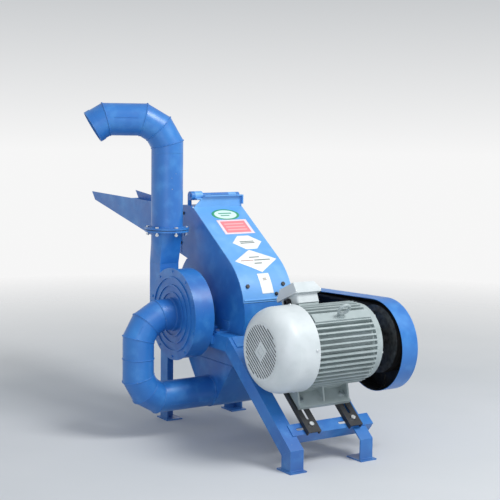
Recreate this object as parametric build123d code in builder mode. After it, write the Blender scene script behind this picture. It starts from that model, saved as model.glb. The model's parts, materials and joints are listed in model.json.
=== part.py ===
"""Belt-driven hammer mill with its own suction fan, as separate pieces in one frame.

Millimetres. X runs along the rotor shaft, towards the belt guard. Y runs from the motor to the
feed tray. Z is up. The origin is on the floor, at the centre of the four anchor holes.
"""

import os
from math import asin, atan2, cos, degrees, hypot, radians, sin, tan

from build123d import *

os.makedirs("parts", exist_ok=True)

# Frame of rolled angle steel
FRAME_X = 205.0  # outer face of each side frame
FRAME_Y = 523.0  # outer face of the end posts
FRAME_TOP = 467.0
KNEE_Y = -57.0  # where the level rail turns down into the brace
SLOPE = 39.0  # fall of the brace, degrees
ANGLE = 63.0  # leg of the angle section
ANGLE_T = 6.0
FOOT_T = 6.0  # foot plate
ANCHOR_X = 174.0
ANCHOR_Y = 492.0
ANCHOR_R = 7.0

# Beams that carry the motor rails across the braces
BEAM = 56.0
BEAM_T = 5.0
BEAM_DOWN = 534.0  # the lower beam's outer corner, down the slope from the knee
UPPER_BEAM_DOWN = 58.0
BEAM_END_X = 245.0  # the lower beam runs past the right brace
RAIL_BOLT_DOWNS = (UPPER_BEAM_DOWN - 22, BEAM_DOWN - 28)
RAIL_BOLT_R = 6.0
TIE_Z = 330.0  # underside of the rear tie

# Mill
ROTOR_Y = 225.0
ROTOR_Z = 535.0
CASE_X = 128.0  # outer face of each side plate
SIDE_T = 5.0
SKIN_T = 4.0
CASE_R = 290.0  # outer radius of the wrapper
PLATE_R = 285.5  # rim of the side plates, just inside the wrapper
COVER_RISE = 34.0  # slope of the cover's straight part, degrees
COVER_TOP_Y = 369.0
COVER_LOW_Z = 606.0
HOPPER_Z = 320.0  # where the outlet trough meets the casing
TROUGH_Z = 177.0  # axis of the trough's round bottom and of the suction pipe
TROUGH_R = 70.0
SCREEN_R = 268.0
PIN_R = 156.0  # circle of the hammer pins
DISC_R = 186.0
DISC_XS = (-96.0, -48.0, 0.0, 48.0, 96.0)
HAMMER = (40.0, 120.0, 5.0)  # width, length, thickness
BEARING_X = 174.0
LUG_YS = (ROTOR_Y - 145, ROTOR_Y + 145)
HOUSING_BOLT_YS = (ROTOR_Y - 85, ROTOR_Y + 85)

# Feed tray
TRAY_RISE = 12.1
TRAY_TIP_Y = 1364.0
TRAY_EDGE_Z = 983.0

# Fan, suction pipe and discharge pipe
FAN_FACE_X = -315.0
FAN_BACK_X = -219.0
FAN_R = 194.0
SUCTION_R = 67.0
SUCTION_X = -480.0
SUCTION_BEND = 130.0
RISER_X = -262.0
RISER_Y = 370.0
RISER_R = 70.0
RISER_BEND = 145.0
FLANGE_Z = 888.0
FLANGE_R = 97.0
RUN_Z = 1370.0
RUN_TURN = 21.0  # the level run points this far from -X towards +Y, degrees
PIPE_T = 2.5

# Motor on its inclined rails
FEET_UP = 25.0  # mounting plane above the brace's top plane
SHAFT_HEIGHT = 180.0
MOTOR_DOWN = 252.0  # motor axis down the slope from the knee
MOTOR_RAIL_XS = (-66.0, 144.0)
FOOT_SPAN = 279.0  # between the bolt holes, up and down the slope
COWL_R = 176.0
BARREL_X = (-95.0, 205.0)
MOTOR_SHAFT_END = 385.0

# Belt drive
MOTOR_PULLEY_R = 143.5
MILL_PULLEY_R = 66.0
BELT_XS = (333.0, 352.0, 371.0)
BELT_DEEP = 11.0
GUARD_XS = (318.0, 400.0)
GUARD_END = (-368.0, 440.0)  # centre of the guard's large end, a little below the motor shaft
GUARD_MOTOR_R = 195.0
GUARD_MILL_R = 76.0

COS = cos(radians(SLOPE))
SIN = sin(radians(SLOPE))
TAN = tan(radians(SLOPE))
MOTOR_Y = KNEE_Y - MOTOR_DOWN * COS - (FEET_UP + SHAFT_HEIGHT) * SIN
MOTOR_Z = FRAME_TOP - MOTOR_DOWN * SIN + (FEET_UP + SHAFT_HEIGHT) * COS


# Planes and small shared shapes


def incline(x, down, up=0.0):
    """A plane on the slope: x across, y uphill, z away from the brace's top plane."""
    y = KNEE_Y - down * COS - up * SIN
    z = FRAME_TOP - down * SIN + up * COS
    return Plane(origin=(x, y, z), x_dir=(1, 0, 0), z_dir=(0, -SIN, COS))


def across(x, y, z):
    """A plane facing +X, with its x along +Y and its y along +Z."""
    return Plane(origin=(x, y, z), x_dir=(0, 1, 0), z_dir=(1, 0, 0))


def mill_side(x):
    return across(x, ROTOR_Y, ROTOR_Z)


def motor_side(x):
    return Plane(origin=(x, MOTOR_Y, MOTOR_Z), x_dir=(0, COS, SIN), z_dir=(1, 0, 0))


def turning_plane(y, z):
    """A plane through a shaft's axis, with x along the shaft and y as the radius."""
    return Plane(origin=(0, y, z), x_dir=(1, 0, 0), z_dir=(0, -1, 0))


def disc(plane, outer, length, inner=0.0, mode=Mode.ADD):
    """A round plate or ring that grows from the plane."""
    with BuildSketch(plane) as ring:
        Circle(outer)
        if inner > 0:
            Circle(inner, mode=Mode.SUBTRACT)
    extrude(ring.sketch, amount=length, mode=mode)


def block(plane, width, depth, height, mode=Mode.ADD):
    """A rectangular bar centred on the plane's origin that grows from the plane."""
    with BuildSketch(plane) as base:
        Rectangle(width, depth)
    extrude(base.sketch, amount=height, mode=mode)


def plate(plane, outline, thickness, mode=Mode.ADD):
    """A flat plate with a polygon outline that grows from the plane."""
    with BuildSketch(plane) as face:
        Polygon(*outline, align=None)
    extrude(face.sketch, amount=thickness, mode=mode)


def turned(y, z, outline, mode=Mode.ADD):
    """A turned part: an outline of (x, radius) points spun about a shaft at (y, z)."""
    with BuildSketch(turning_plane(y, z)) as half:
        Polygon(*outline, align=None)
    revolve(half.sketch, axis=Axis((0, y, z), (1, 0, 0)), mode=mode)


def hex_bolt(plane, shank_r, length, head=True, nut=True):
    """A bolt along the plane's normal: head below the plane, nut at the far end."""
    disc(plane, shank_r, length)
    if head:
        with BuildSketch(plane) as hexagon:
            RegularPolygon(shank_r * 1.85, 6)
        extrude(hexagon.sketch, amount=-shank_r * 1.3)
    if nut:
        with BuildSketch(plane.offset(length - shank_r * 2.2)) as hexagon:
            RegularPolygon(shank_r * 1.85, 6)
            Circle(shank_r * 0.5, mode=Mode.SUBTRACT)
        extrude(hexagon.sketch, amount=shank_r * 1.6)


def polar(radius, angle):
    return radius * cos(radians(angle)), radius * sin(radians(angle))


# Side frames: a welded outline of angle steel, its corner outwards


def knee(inset):
    """Where the level rail and the brace meet, inset from the outer line, as (y, z)."""
    return KNEE_Y + inset * (1 / COS - 1) / TAN, FRAME_TOP - inset


def toe(inset):
    """Where the brace and the front post meet, inset from the outer line."""
    y = -FRAME_Y + inset
    return y, FRAME_TOP + (y - KNEE_Y) * TAN - inset / COS


def angle_strip(side, outer, inner_web, inner_flange):
    """One angle member: a web in the side's plane and a flange along its outer line."""
    outside = side * FRAME_X
    plate(Plane.YZ.offset(outside), outer + inner_web, -side * ANGLE_T)
    plate(Plane.YZ.offset(outside), outer + inner_flange, -side * ANGLE)


with BuildPart() as foot_plates:
    with BuildSketch(Plane.XY) as feet:
        with GridLocations(2 * (ANCHOR_X + 1), 2 * (ANCHOR_Y - 2), 2, 2):
            Rectangle(80, 96)
        with GridLocations(2 * ANCHOR_X, 2 * ANCHOR_Y, 2, 2):
            Circle(ANCHOR_R, mode=Mode.SUBTRACT)
    extrude(feet.sketch, amount=FOOT_T)
foot_plates.part.label = "foot_plates"
export_step(foot_plates.part, "parts/foot_plates.step")

with BuildPart() as top_rails:
    for side in (-1, 1):
        angle_strip(
            side,
            [knee(0), (FRAME_Y, FRAME_TOP)],
            [(FRAME_Y, FRAME_TOP - ANGLE), knee(ANGLE)],
            [(FRAME_Y, FRAME_TOP - ANGLE_T), knee(ANGLE_T)],
        )
    for x in (-BEARING_X, BEARING_X):
        for y in HOUSING_BOLT_YS:
            disc(Plane((x, y, FRAME_TOP)), 7, -ANGLE_T, mode=Mode.SUBTRACT)
        for y in LUG_YS:
            disc(Plane((x, y, FRAME_TOP)), 5.5, -ANGLE_T, mode=Mode.SUBTRACT)
top_rails.part.label = "top_rails"
export_step(top_rails.part, "parts/top_rails.step")

with BuildPart() as braces:
    for side in (-1, 1):
        angle_strip(side, [knee(0), toe(0)], [toe(ANGLE), knee(ANGLE)], [toe(ANGLE_T), knee(ANGLE_T)])
    # the right brace is notched for the upright leg of the lower motor beam
    notch = incline(170, BEAM_DOWN - BEAM_T / 2, -BEAM + BEAM_T - 0.2)
    block(notch, 80, BEAM_T + 0.4, BEAM + 10, mode=Mode.SUBTRACT)
    # and slotted at its edge for the right rail's bolts
    for down in RAIL_BOLT_DOWNS:
        disc(incline(MOTOR_RAIL_XS[1], down, -ANGLE_T - 1), RAIL_BOLT_R + 1, ANGLE_T + 2, mode=Mode.SUBTRACT)
braces.part.label = "braces"
export_step(braces.part, "parts/braces.step")

with BuildPart() as frame_legs:
    leg_top = FRAME_TOP - ANGLE
    for side in (-1, 1):
        angle_strip(
            side,
            [(FRAME_Y, leg_top), (FRAME_Y, FOOT_T)],
            [(FRAME_Y - ANGLE, FOOT_T), (FRAME_Y - ANGLE, leg_top)],
            [(FRAME_Y - ANGLE_T, FOOT_T), (FRAME_Y - ANGLE_T, leg_top)],
        )
        angle_strip(
            side,
            [toe(0), (-FRAME_Y, FOOT_T)],
            [(-FRAME_Y + ANGLE, FOOT_T), toe(ANGLE)],
            [(-FRAME_Y + ANGLE_T, FOOT_T), toe(ANGLE_T)],
        )
frame_legs.part.label = "frame_legs"
export_step(frame_legs.part, "parts/frame_legs.step")


def motor_beam(corner_down, left_x, right_x, leg_right_x):
    """An angle across the braces: its flange carries the rails, its leg hangs at the low edge."""
    middle = incline((left_x + right_x) / 2, corner_down - BEAM / 2)
    block(middle, right_x - left_x, BEAM, BEAM_T)
    leg_left_x = -FRAME_X + ANGLE + 0.5
    leg_plane = incline((leg_left_x + leg_right_x) / 2, corner_down - BEAM_T / 2, BEAM_T - BEAM)
    block(leg_plane, leg_right_x - leg_left_x, BEAM_T, BEAM - BEAM_T)


with BuildPart() as cross_beams:
    inner_x = FRAME_X - ANGLE
    motor_beam(BEAM_DOWN, -inner_x - 18, BEAM_END_X, BEAM_END_X)
    upper_end_x = FRAME_X - 15
    motor_beam(UPPER_BEAM_DOWN, -upper_end_x, upper_end_x, inner_x - 0.5)
    for x in MOTOR_RAIL_XS:
        for down, slot_x, slot_long in zip(RAIL_BOLT_DOWNS, (x, x - 8), (88, 112)):
            with BuildSketch(incline(slot_x, down)) as slot:
                SlotOverall(slot_long, 13)
            extrude(slot.sketch, amount=BEAM_T, mode=Mode.SUBTRACT)
    # the tie between the rear legs, with its level leg at the bottom, clear of the casing
    tie_y = FRAME_Y - ANGLE_T
    plate(
        Plane.YZ.offset(-FRAME_X + ANGLE_T),
        [
            (tie_y, TIE_Z),
            (tie_y, TIE_Z + ANGLE),
            (tie_y - ANGLE_T, TIE_Z + ANGLE),
            (tie_y - ANGLE_T, TIE_Z + ANGLE_T),
            (tie_y - ANGLE, TIE_Z + ANGLE_T),
            (tie_y - ANGLE, TIE_Z),
        ],
        2 * (FRAME_X - ANGLE_T),
    )
cross_beams.part.label = "cross_beams"
export_step(cross_beams.part, "parts/cross_beams.step")


# Mill casing

TANGENT = 90 + COVER_RISE  # where the wrapper's arc gives way to the straight cover


def casing_point(radius, angle):
    """A point (y, z) on a circle about the rotor axis, angle from +Y."""
    y, z = polar(radius, angle)
    return ROTOR_Y + y, ROTOR_Z + z


def cover_line_z(radius, y):
    """Height of the straight cover line that is tangent to the given circle."""
    start_y, start_z = casing_point(radius, TANGENT)
    return start_z + (y - start_y) * tan(radians(COVER_RISE))


def hopper_angle(radius, side):
    """Angle on the circle where the trough meets the casing, side -1 front, +1 rear."""
    drop = degrees(asin((ROTOR_Z - HOPPER_Z) / radius))
    return 180 + drop if side < 0 else 360 - drop


def band(inner, outer, start, stop, x_from, x_to, mode=Mode.ADD):
    """A rolled strip about the rotor axis between two angles."""
    middle = (start + stop) / 2
    with BuildSketch(Plane.YZ.offset(x_from)) as strip:
        with BuildLine():
            inner_ends = (casing_point(inner, start), casing_point(inner, stop))
            ThreePointArc(inner_ends[0], casing_point(inner, middle), inner_ends[1])
            outer_ends = (casing_point(outer, start), casing_point(outer, stop))
            Line(inner_ends[1], outer_ends[1])
            ThreePointArc(outer_ends[1], casing_point(outer, middle), outer_ends[0])
            Line(outer_ends[0], inner_ends[0])
        make_face()
    extrude(strip.sketch, amount=x_to - x_from, mode=mode)


TRAY_SLOPE = tan(radians(TRAY_RISE))
THROAT_Y = 470.0
TRAY_FLOOR_Z = 761.0  # underside of the tray floor where it meets the throat
REAR_ANGLE = degrees(asin((751 - ROTOR_Z) / CASE_R))


def side_plate(x_from):
    """The side plate's outline: a circle with a throat that reaches back to the tray."""
    front = hopper_angle(PLATE_R, -1)
    rear = hopper_angle(PLATE_R, 1)
    with BuildSketch(Plane.YZ.offset(x_from)) as outline:
        with BuildLine():
            arc_start = casing_point(PLATE_R, front)
            arc_end = casing_point(PLATE_R, TANGENT)
            ThreePointArc(arc_start, casing_point(PLATE_R, (front + TANGENT) / 2), arc_end)
            cover_end = (COVER_TOP_Y, cover_line_z(PLATE_R, COVER_TOP_Y))
            Line(arc_end, cover_end)
            step_y = COVER_TOP_Y + 14
            Line(cover_end, (step_y, cover_end[1]))
            Line((step_y, cover_end[1]), (step_y, TRAY_EDGE_Z))
            Line((step_y, TRAY_EDGE_Z), (THROAT_Y, TRAY_EDGE_Z))
            Line((THROAT_Y, TRAY_EDGE_Z), (THROAT_Y, TRAY_FLOOR_Z))
            back_start = casing_point(PLATE_R, REAR_ANGLE)
            Line((THROAT_Y, TRAY_FLOOR_Z), back_start)
            back_end = casing_point(PLATE_R, rear)
            ThreePointArc(back_start, casing_point(PLATE_R, (REAR_ANGLE + rear - 360) / 2), back_end)
            Line(back_end, arc_start)
        make_face()
    extrude(outline.sketch, amount=SIDE_T)
    disc(mill_side(x_from), 34, SIDE_T, mode=Mode.SUBTRACT)


with BuildPart() as side_plates:
    side_plate(-CASE_X)
    side_plate(CASE_X - SIDE_T)
side_plates.part.label = "side_plates"
export_step(side_plates.part, "parts/side_plates.step")

WRAP_IN = CASE_R - SKIN_T
COVER_ANGLE = 180 - degrees(asin((COVER_LOW_Z - ROTOR_Z) / CASE_R))

with BuildPart() as casing_wrappers:
    band(WRAP_IN, CASE_R, COVER_ANGLE + 0.4, hopper_angle(CASE_R, -1), -CASE_X, CASE_X)
    band(WRAP_IN, CASE_R, hopper_angle(CASE_R, 1) - 360, REAR_ANGLE - 1.5, -CASE_X, CASE_X)
casing_wrappers.part.label = "casing_wrappers"
export_step(casing_wrappers.part, "parts/casing_wrappers.step")

HINGE_Y = 400.0
HINGE_Z = 1032.0
HINGE_PIN_R = 8.0
KNUCKLE_R = 20.0  # the left knuckles; the others are smaller
SMALL_KNUCKLE_R = 12.0
LIP_TOP_Z = 1034.0
COVER_BOLT_XS = (-95.0, 87.0)

with BuildPart() as top_cover:
    with BuildSketch(Plane.YZ.offset(-CASE_X)) as cover_section:
        with BuildLine():
            low_out = casing_point(CASE_R, COVER_ANGLE)
            low_in = casing_point(WRAP_IN, COVER_ANGLE)
            turn_out = casing_point(CASE_R, TANGENT)
            turn_in = casing_point(WRAP_IN, TANGENT)
            top_out = (COVER_TOP_Y, cover_line_z(CASE_R, COVER_TOP_Y))
            top_in = (COVER_TOP_Y, cover_line_z(WRAP_IN, COVER_TOP_Y))
            ThreePointArc(low_out, casing_point(CASE_R, (COVER_ANGLE + TANGENT) / 2), turn_out)
            Line(turn_out, top_out)
            Line(top_out, top_in)
            Line(top_in, turn_in)
            ThreePointArc(turn_in, casing_point(WRAP_IN, (COVER_ANGLE + TANGENT) / 2), low_in)
            Line(low_in, low_out)
        make_face()
    extrude(cover_section.sketch, amount=2 * CASE_X)
    # the upstanding lip at the top, cut back at its left end, and its folded end tab
    with BuildSketch(Plane((0, COVER_TOP_Y, 0), x_dir=(1, 0, 0), z_dir=(0, -1, 0))) as lip:
        lip_low = cover_line_z(WRAP_IN, COVER_TOP_Y) + 1
        Polygon((-CASE_X, lip_low), (CASE_X, lip_low), (CASE_X, LIP_TOP_Z), (-68, LIP_TOP_Z), align=None)
    extrude(lip.sketch, amount=-SKIN_T)
    block(Plane((26, COVER_TOP_Y - 6, LIP_TOP_Z)), 204, 20, -SKIN_T)
    block(Plane((CASE_X - 2, COVER_TOP_Y - 6, lip_low + 14)), SKIN_T, 20, LIP_TOP_Z - lip_low - 14)
    # hinge ears and knuckles
    for x, radius in ((-90, KNUCKLE_R), (90, SMALL_KNUCKLE_R)):
        ear = Plane((x, (COVER_TOP_Y + HINGE_Y) / 2, HINGE_Z - 0.8 * radius))
        block(ear, 40, HINGE_Y - COVER_TOP_Y, 6)
        disc(across(x - 20, HINGE_Y, HINGE_Z), radius, 40)
        disc(across(x - 20, HINGE_Y, HINGE_Z), HINGE_PIN_R + 0.1, 40, mode=Mode.SUBTRACT)
    for x in COVER_BOLT_XS:
        bolt_y, bolt_z = casing_point(CASE_R, COVER_ANGLE - 14)
        across_cover = Plane(
            (x, bolt_y, bolt_z), x_dir=(1, 0, 0), z_dir=(0, *polar(1, COVER_ANGLE - 14))
        )
        disc(across_cover.offset(3), 5.5, -12, mode=Mode.SUBTRACT)
top_cover.part.label = "top_cover"
export_step(top_cover.part, "parts/top_cover.step")

with BuildPart() as cover_hinge_pin:
    disc(across(-CASE_X - 4, HINGE_Y, HINGE_Z), HINGE_PIN_R, 2 * CASE_X + 8)
cover_hinge_pin.part.label = "cover_hinge_pin"
export_step(cover_hinge_pin.part, "parts/cover_hinge_pin.step")

with BuildPart() as hinge_brackets:
    foot_z = TRAY_EDGE_Z + SKIN_T
    for start, width, radius in (
        (-CASE_X, 17.5, KNUCKLE_R),
        (-69.5, 139, SMALL_KNUCKLE_R),
        (CASE_X - 17.5, 17.5, SMALL_KNUCKLE_R),
    ):
        disc(across(start, HINGE_Y, HINGE_Z), radius, width)
        upright = Plane((start + width / 2, HINGE_Y + radius - 3, foot_z))
        block(upright, width, 6, HINGE_Z - foot_z)
        disc(across(start, HINGE_Y, HINGE_Z), HINGE_PIN_R, width, mode=Mode.SUBTRACT)
hinge_brackets.part.label = "hinge_brackets"
export_step(hinge_brackets.part, "parts/hinge_brackets.step")

with BuildPart() as cover_bolts:
    for x in COVER_BOLT_XS:
        bolt_y, bolt_z = casing_point(CASE_R, COVER_ANGLE - 14)
        seat = Plane((x, bolt_y, bolt_z), x_dir=(1, 0, 0), z_dir=(0, *polar(-1, COVER_ANGLE - 14)))
        hex_bolt(seat.offset(-0.3), 5, 16, nut=False)
cover_bolts.part.label = "cover_bolts"
export_step(cover_bolts.part, "parts/cover_bolts.step")


def tray_z(y):
    """Underside of the tray floor."""
    return TRAY_FLOOR_Z + (y - THROAT_Y) * TRAY_SLOPE


TRAY_T = 3.0
TRAY_KNEE_Y = 783.0  # where a wall's level top edge starts to slope
RIGHT_WALL_DROP = 45.0

with BuildPart() as feed_tray:
    floor_start = THROAT_Y + 0.5
    for wall_x, edge_z in ((-CASE_X, TRAY_EDGE_Z), (CASE_X - TRAY_T, TRAY_EDGE_Z - RIGHT_WALL_DROP)):
        side_outline = [
            (floor_start, tray_z(floor_start)),
            (TRAY_TIP_Y, tray_z(TRAY_TIP_Y)),
            (TRAY_TIP_Y + 35, tray_z(TRAY_TIP_Y) + 41),
            (TRAY_KNEE_Y, edge_z),
            (floor_start, edge_z),
        ]
        plate(Plane.YZ.offset(wall_x), side_outline, TRAY_T)
    floor_outline = [
        (floor_start, tray_z(floor_start)),
        (TRAY_TIP_Y, tray_z(TRAY_TIP_Y)),
        (TRAY_TIP_Y, tray_z(TRAY_TIP_Y) + TRAY_T),
        (floor_start, tray_z(floor_start) + TRAY_T),
    ]
    plate(Plane.YZ.offset(-CASE_X), floor_outline, 2 * CASE_X)
feed_tray.part.label = "feed_tray"
export_step(feed_tray.part, "parts/feed_tray.step")

with BuildPart() as throat_plates:
    hood_start = COVER_TOP_Y + 20
    hood_y = (hood_start + THROAT_Y) / 2
    block(Plane((0, hood_y, TRAY_EDGE_Z)), 2 * CASE_X, THROAT_Y - hood_start, SKIN_T)
    inner_y, inner_z = casing_point(WRAP_IN, REAR_ANGLE)
    plate(
        Plane.YZ.offset(-CASE_X + SIDE_T),
        [
            (inner_y + 6, inner_z + 3),
            (THROAT_Y, TRAY_FLOOR_Z),
            (THROAT_Y, TRAY_FLOOR_Z + SKIN_T),
            (inner_y + 3, inner_z + 3 + SKIN_T),
        ],
        2 * (CASE_X - SIDE_T),
    )
throat_plates.part.label = "throat_plates"
export_step(throat_plates.part, "parts/throat_plates.step")

with BuildPart() as breaker_plate:
    breaker_start = COVER_ANGLE + 2
    breaker_stop = hopper_angle(PLATE_R, -1) - 4
    band(272, WRAP_IN, breaker_start, breaker_stop, -CASE_X + SIDE_T + 1, CASE_X - SIDE_T - 1)
    tooth_count = 11
    for tooth in range(tooth_count):
        angle = breaker_start + 2 + tooth * (breaker_stop - breaker_start - 4) / (tooth_count - 1)
        tooth_y, tooth_z = casing_point(270, angle)
        seat = Plane(
            (-CASE_X + SIDE_T + 1, tooth_y, tooth_z), x_dir=(0, *polar(1, angle)), z_dir=(1, 0, 0)
        )
        block(seat, 10, 6, 2 * (CASE_X - SIDE_T - 1))
breaker_plate.part.label = "breaker_plate"
export_step(breaker_plate.part, "parts/breaker_plate.step")

with BuildPart() as screen:
    screen_start = hopper_angle(PLATE_R, -1) - 2
    screen_stop = hopper_angle(PLATE_R, 1) + 2
    band(SCREEN_R, SCREEN_R + 3, screen_start, screen_stop, -CASE_X + SIDE_T + 1, CASE_X - SIDE_T - 1)
    hole_step = 5.0
    hole_rows = int((screen_stop - screen_start - 10) / hole_step)
    for row in range(hole_rows + 1):
        angle = screen_start + 5 + row * hole_step
        hole_y, hole_z = casing_point(SCREEN_R - 4, angle)
        seat = Plane((0, hole_y, hole_z), x_dir=(1, 0, 0), z_dir=(0, *polar(1, angle)))
        with BuildSketch(seat) as holes:
            with GridLocations(56, 1, 4, 1):
                SlotOverall(44, 8)
        extrude(holes.sketch, amount=10, mode=Mode.SUBTRACT)
screen.part.label = "screen"
export_step(screen.part, "parts/screen.step")

with BuildPart() as screen_guides:
    for x in (-CASE_X + SIDE_T, CASE_X - SIDE_T - 12):
        band(SCREEN_R + 3, SCREEN_R + 11, screen_start, screen_stop, x, x + 12)
screen_guides.part.label = "screen_guides"
export_step(screen_guides.part, "parts/screen_guides.step")

# The outlet trough: two sloping sides tangent to a round bottom
HOPPER_HALF = abs(casing_point(CASE_R, hopper_angle(CASE_R, -1))[0] - ROTOR_Y)


def trough_outline(radius, half, top):
    """Half-section points and the arc of the trough, open at the top."""
    rise = top - TROUGH_Z
    span = hypot(half, rise)
    line_angle = degrees(atan2(rise, half)) + degrees(asin(radius / span))
    touch_y = radius * sin(radians(line_angle))
    touch_z = TROUGH_Z - radius * cos(radians(line_angle))
    with BuildLine() as outline:
        Line((ROTOR_Y - half, top), (ROTOR_Y - touch_y, touch_z))
        ThreePointArc(
            (ROTOR_Y - touch_y, touch_z),
            (ROTOR_Y, TROUGH_Z - radius),
            (ROTOR_Y + touch_y, touch_z),
        )
        Line((ROTOR_Y + touch_y, touch_z), (ROTOR_Y + half, top))
        Line((ROTOR_Y + half, top), (ROTOR_Y - half, top))
    return outline.wire()


with BuildPart() as outlet_hopper:
    with BuildSketch(Plane.YZ.offset(-CASE_X)) as trough_outer:
        make_face(trough_outline(TROUGH_R, HOPPER_HALF, HOPPER_Z - 0.5))
    extrude(trough_outer.sketch, amount=2 * CASE_X)
    with BuildSketch(Plane.YZ.offset(-CASE_X + SIDE_T)) as trough_inner:
        make_face(trough_outline(TROUGH_R - 4, HOPPER_HALF - 5, HOPPER_Z + 0.5))
    extrude(trough_inner.sketch, amount=2 * (CASE_X - SIDE_T), mode=Mode.SUBTRACT)
    # room for the screen, which hangs below the casing plates, and the suction opening
    disc(mill_side(-CASE_X + SIDE_T), SCREEN_R + 12, 2 * (CASE_X - SIDE_T), mode=Mode.SUBTRACT)
    disc(across(-CASE_X, ROTOR_Y, TROUGH_Z), SUCTION_R - PIPE_T, SIDE_T, mode=Mode.SUBTRACT)
outlet_hopper.part.label = "outlet_hopper"
export_step(outlet_hopper.part, "parts/outlet_hopper.step")

FAN_BRACKET_YS = (ROTOR_Y - 150, ROTOR_Y + 110)

with BuildPart() as mounting_lugs:
    for side in (-1, 1):
        for y in LUG_YS:
            block(Plane((side * (CASE_X + 3), y, FRAME_TOP)), 6, 50, 46)
            block(Plane((side * (CASE_X + 32), y, FRAME_TOP)), 64, 50, 6)
            disc(Plane((side * BEARING_X, y, FRAME_TOP)), 5.5, 6, mode=Mode.SUBTRACT)
    # stub brackets between the left rail and the back of the fan
    for y in FAN_BRACKET_YS:
        stub_x = (FAN_BACK_X - FRAME_X) / 2
        block(Plane((stub_x, y, FRAME_TOP - 45)), -FAN_BACK_X - FRAME_X, 40, 36)
mounting_lugs.part.label = "mounting_lugs"
export_step(mounting_lugs.part, "parts/mounting_lugs.step")

with BuildPart() as frame_bolts:
    for x in (-BEARING_X, BEARING_X):
        for y in LUG_YS:
            hex_bolt(Plane((x, y, FRAME_TOP + 6), x_dir=(1, 0, 0), z_dir=(0, 0, -1)), 5, 32)
        for y in HOUSING_BOLT_YS:
            hex_bolt(Plane((x, y, FRAME_TOP + 22), x_dir=(1, 0, 0), z_dir=(0, 0, -1)), 6, 46)
    for x in MOTOR_RAIL_XS:
        for down in RAIL_BOLT_DOWNS:
            seat = Plane(incline(x, down, FEET_UP).origin, x_dir=(1, 0, 0), z_dir=(0, SIN, -COS))
            grip = FEET_UP + (ANGLE_T if x > 0 else 0) + 0.2
            hex_bolt(seat, RAIL_BOLT_R, grip + 2.2 * RAIL_BOLT_R)
frame_bolts.part.label = "frame_bolts"
export_step(frame_bolts.part, "parts/frame_bolts.step")


# Rotor

SHAFT_R = 35.0
SEAT_R = 27.5
FAN_SEAT_R = 22.0
PULLEY_SEAT_R = 24.0
HUB_R = 50.0
HAMMER_PIN_R = 10.0

with BuildPart() as rotor_shaft:
    turned(
        ROTOR_Y,
        ROTOR_Z,
        [
            (-306, 0),
            (-306, FAN_SEAT_R),
            (-212, FAN_SEAT_R),
            (-212, SEAT_R),
            (-142, SEAT_R),
            (-142, 32),
            (-118, 32),
            (-118, SHAFT_R),
            (118, SHAFT_R),
            (118, 32),
            (142, 32),
            (142, SEAT_R),
            (318, SEAT_R),
            (318, PULLEY_SEAT_R),
            (390, PULLEY_SEAT_R),
            (390, 0),
        ],
    )
rotor_shaft.part.label = "rotor_shaft"
export_step(rotor_shaft.part, "parts/rotor_shaft.step")

with BuildPart() as rotor_discs:
    for x in DISC_XS:
        disc(mill_side(x - 3), DISC_R, 6, inner=SHAFT_R)
        for quarter in range(4):
            pin_y, pin_z = polar(PIN_R, 45 + 90 * quarter)
            disc(across(x - 3, ROTOR_Y + pin_y, ROTOR_Z + pin_z), HAMMER_PIN_R, 6, mode=Mode.SUBTRACT)
rotor_discs.part.label = "rotor_discs"
export_step(rotor_discs.part, "parts/rotor_discs.step")

with BuildPart() as disc_spacers:
    for left, right in zip(DISC_XS, DISC_XS[1:]):
        disc(mill_side(left + 3), HUB_R, right - left - 6, inner=SHAFT_R)
disc_spacers.part.label = "disc_spacers"
export_step(disc_spacers.part, "parts/disc_spacers.step")

with BuildPart() as rotor_nuts:
    for x in (-112, 99):
        disc(mill_side(x), HUB_R, 13, inner=SHAFT_R)
    disc(mill_side(-304), 32, 13.5, inner=FAN_SEAT_R)
rotor_nuts.part.label = "rotor_nuts"
export_step(rotor_nuts.part, "parts/rotor_nuts.step")

with BuildPart() as hammer_pins:
    for quarter in range(4):
        pin_y, pin_z = polar(PIN_R, 45 + 90 * quarter)
        disc(across(-106, ROTOR_Y + pin_y, ROTOR_Z + pin_z), HAMMER_PIN_R, 212)
hammer_pins.part.label = "hammer_pins"
export_step(hammer_pins.part, "parts/hammer_pins.step")

# Each row has four hammers; the rows are stepped along the shaft so that they never meet
GAP = DISC_XS[1] - DISC_XS[0]


def hammer_row(quarter):
    """Four swing hammers hanging from one pin, with the pin's hole at their upper end."""
    pin_y, pin_z = polar(PIN_R, 45 + 90 * quarter)
    width, length, thickness = HAMMER
    eye = 20.0
    for left in DISC_XS[:-1]:
        x = left + 8.5 + quarter * (GAP - 17 - thickness) / 3
        with BuildSketch(across(x, ROTOR_Y + pin_y, ROTOR_Z + pin_z)) as blade:
            with Locations((0, eye - length / 2)):
                Rectangle(width, length)
            Circle(HAMMER_PIN_R + 0.1, mode=Mode.SUBTRACT)
            with Locations((0, 2 * eye - length)):
                Circle(HAMMER_PIN_R + 0.1, mode=Mode.SUBTRACT)
        extrude(blade.sketch, amount=thickness)


with BuildPart() as hammer_row_1:
    hammer_row(0)
hammer_row_1.part.label = "hammer_row_1"
export_step(hammer_row_1.part, "parts/hammer_row_1.step")

with BuildPart() as hammer_row_2:
    hammer_row(1)
hammer_row_2.part.label = "hammer_row_2"
export_step(hammer_row_2.part, "parts/hammer_row_2.step")

with BuildPart() as hammer_row_3:
    hammer_row(2)
hammer_row_3.part.label = "hammer_row_3"
export_step(hammer_row_3.part, "parts/hammer_row_3.step")

with BuildPart() as hammer_row_4:
    hammer_row(3)
hammer_row_4.part.label = "hammer_row_4"
export_step(hammer_row_4.part, "parts/hammer_row_4.step")

BEARING_R = 50.0
BEARING_W = 25.0

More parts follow.
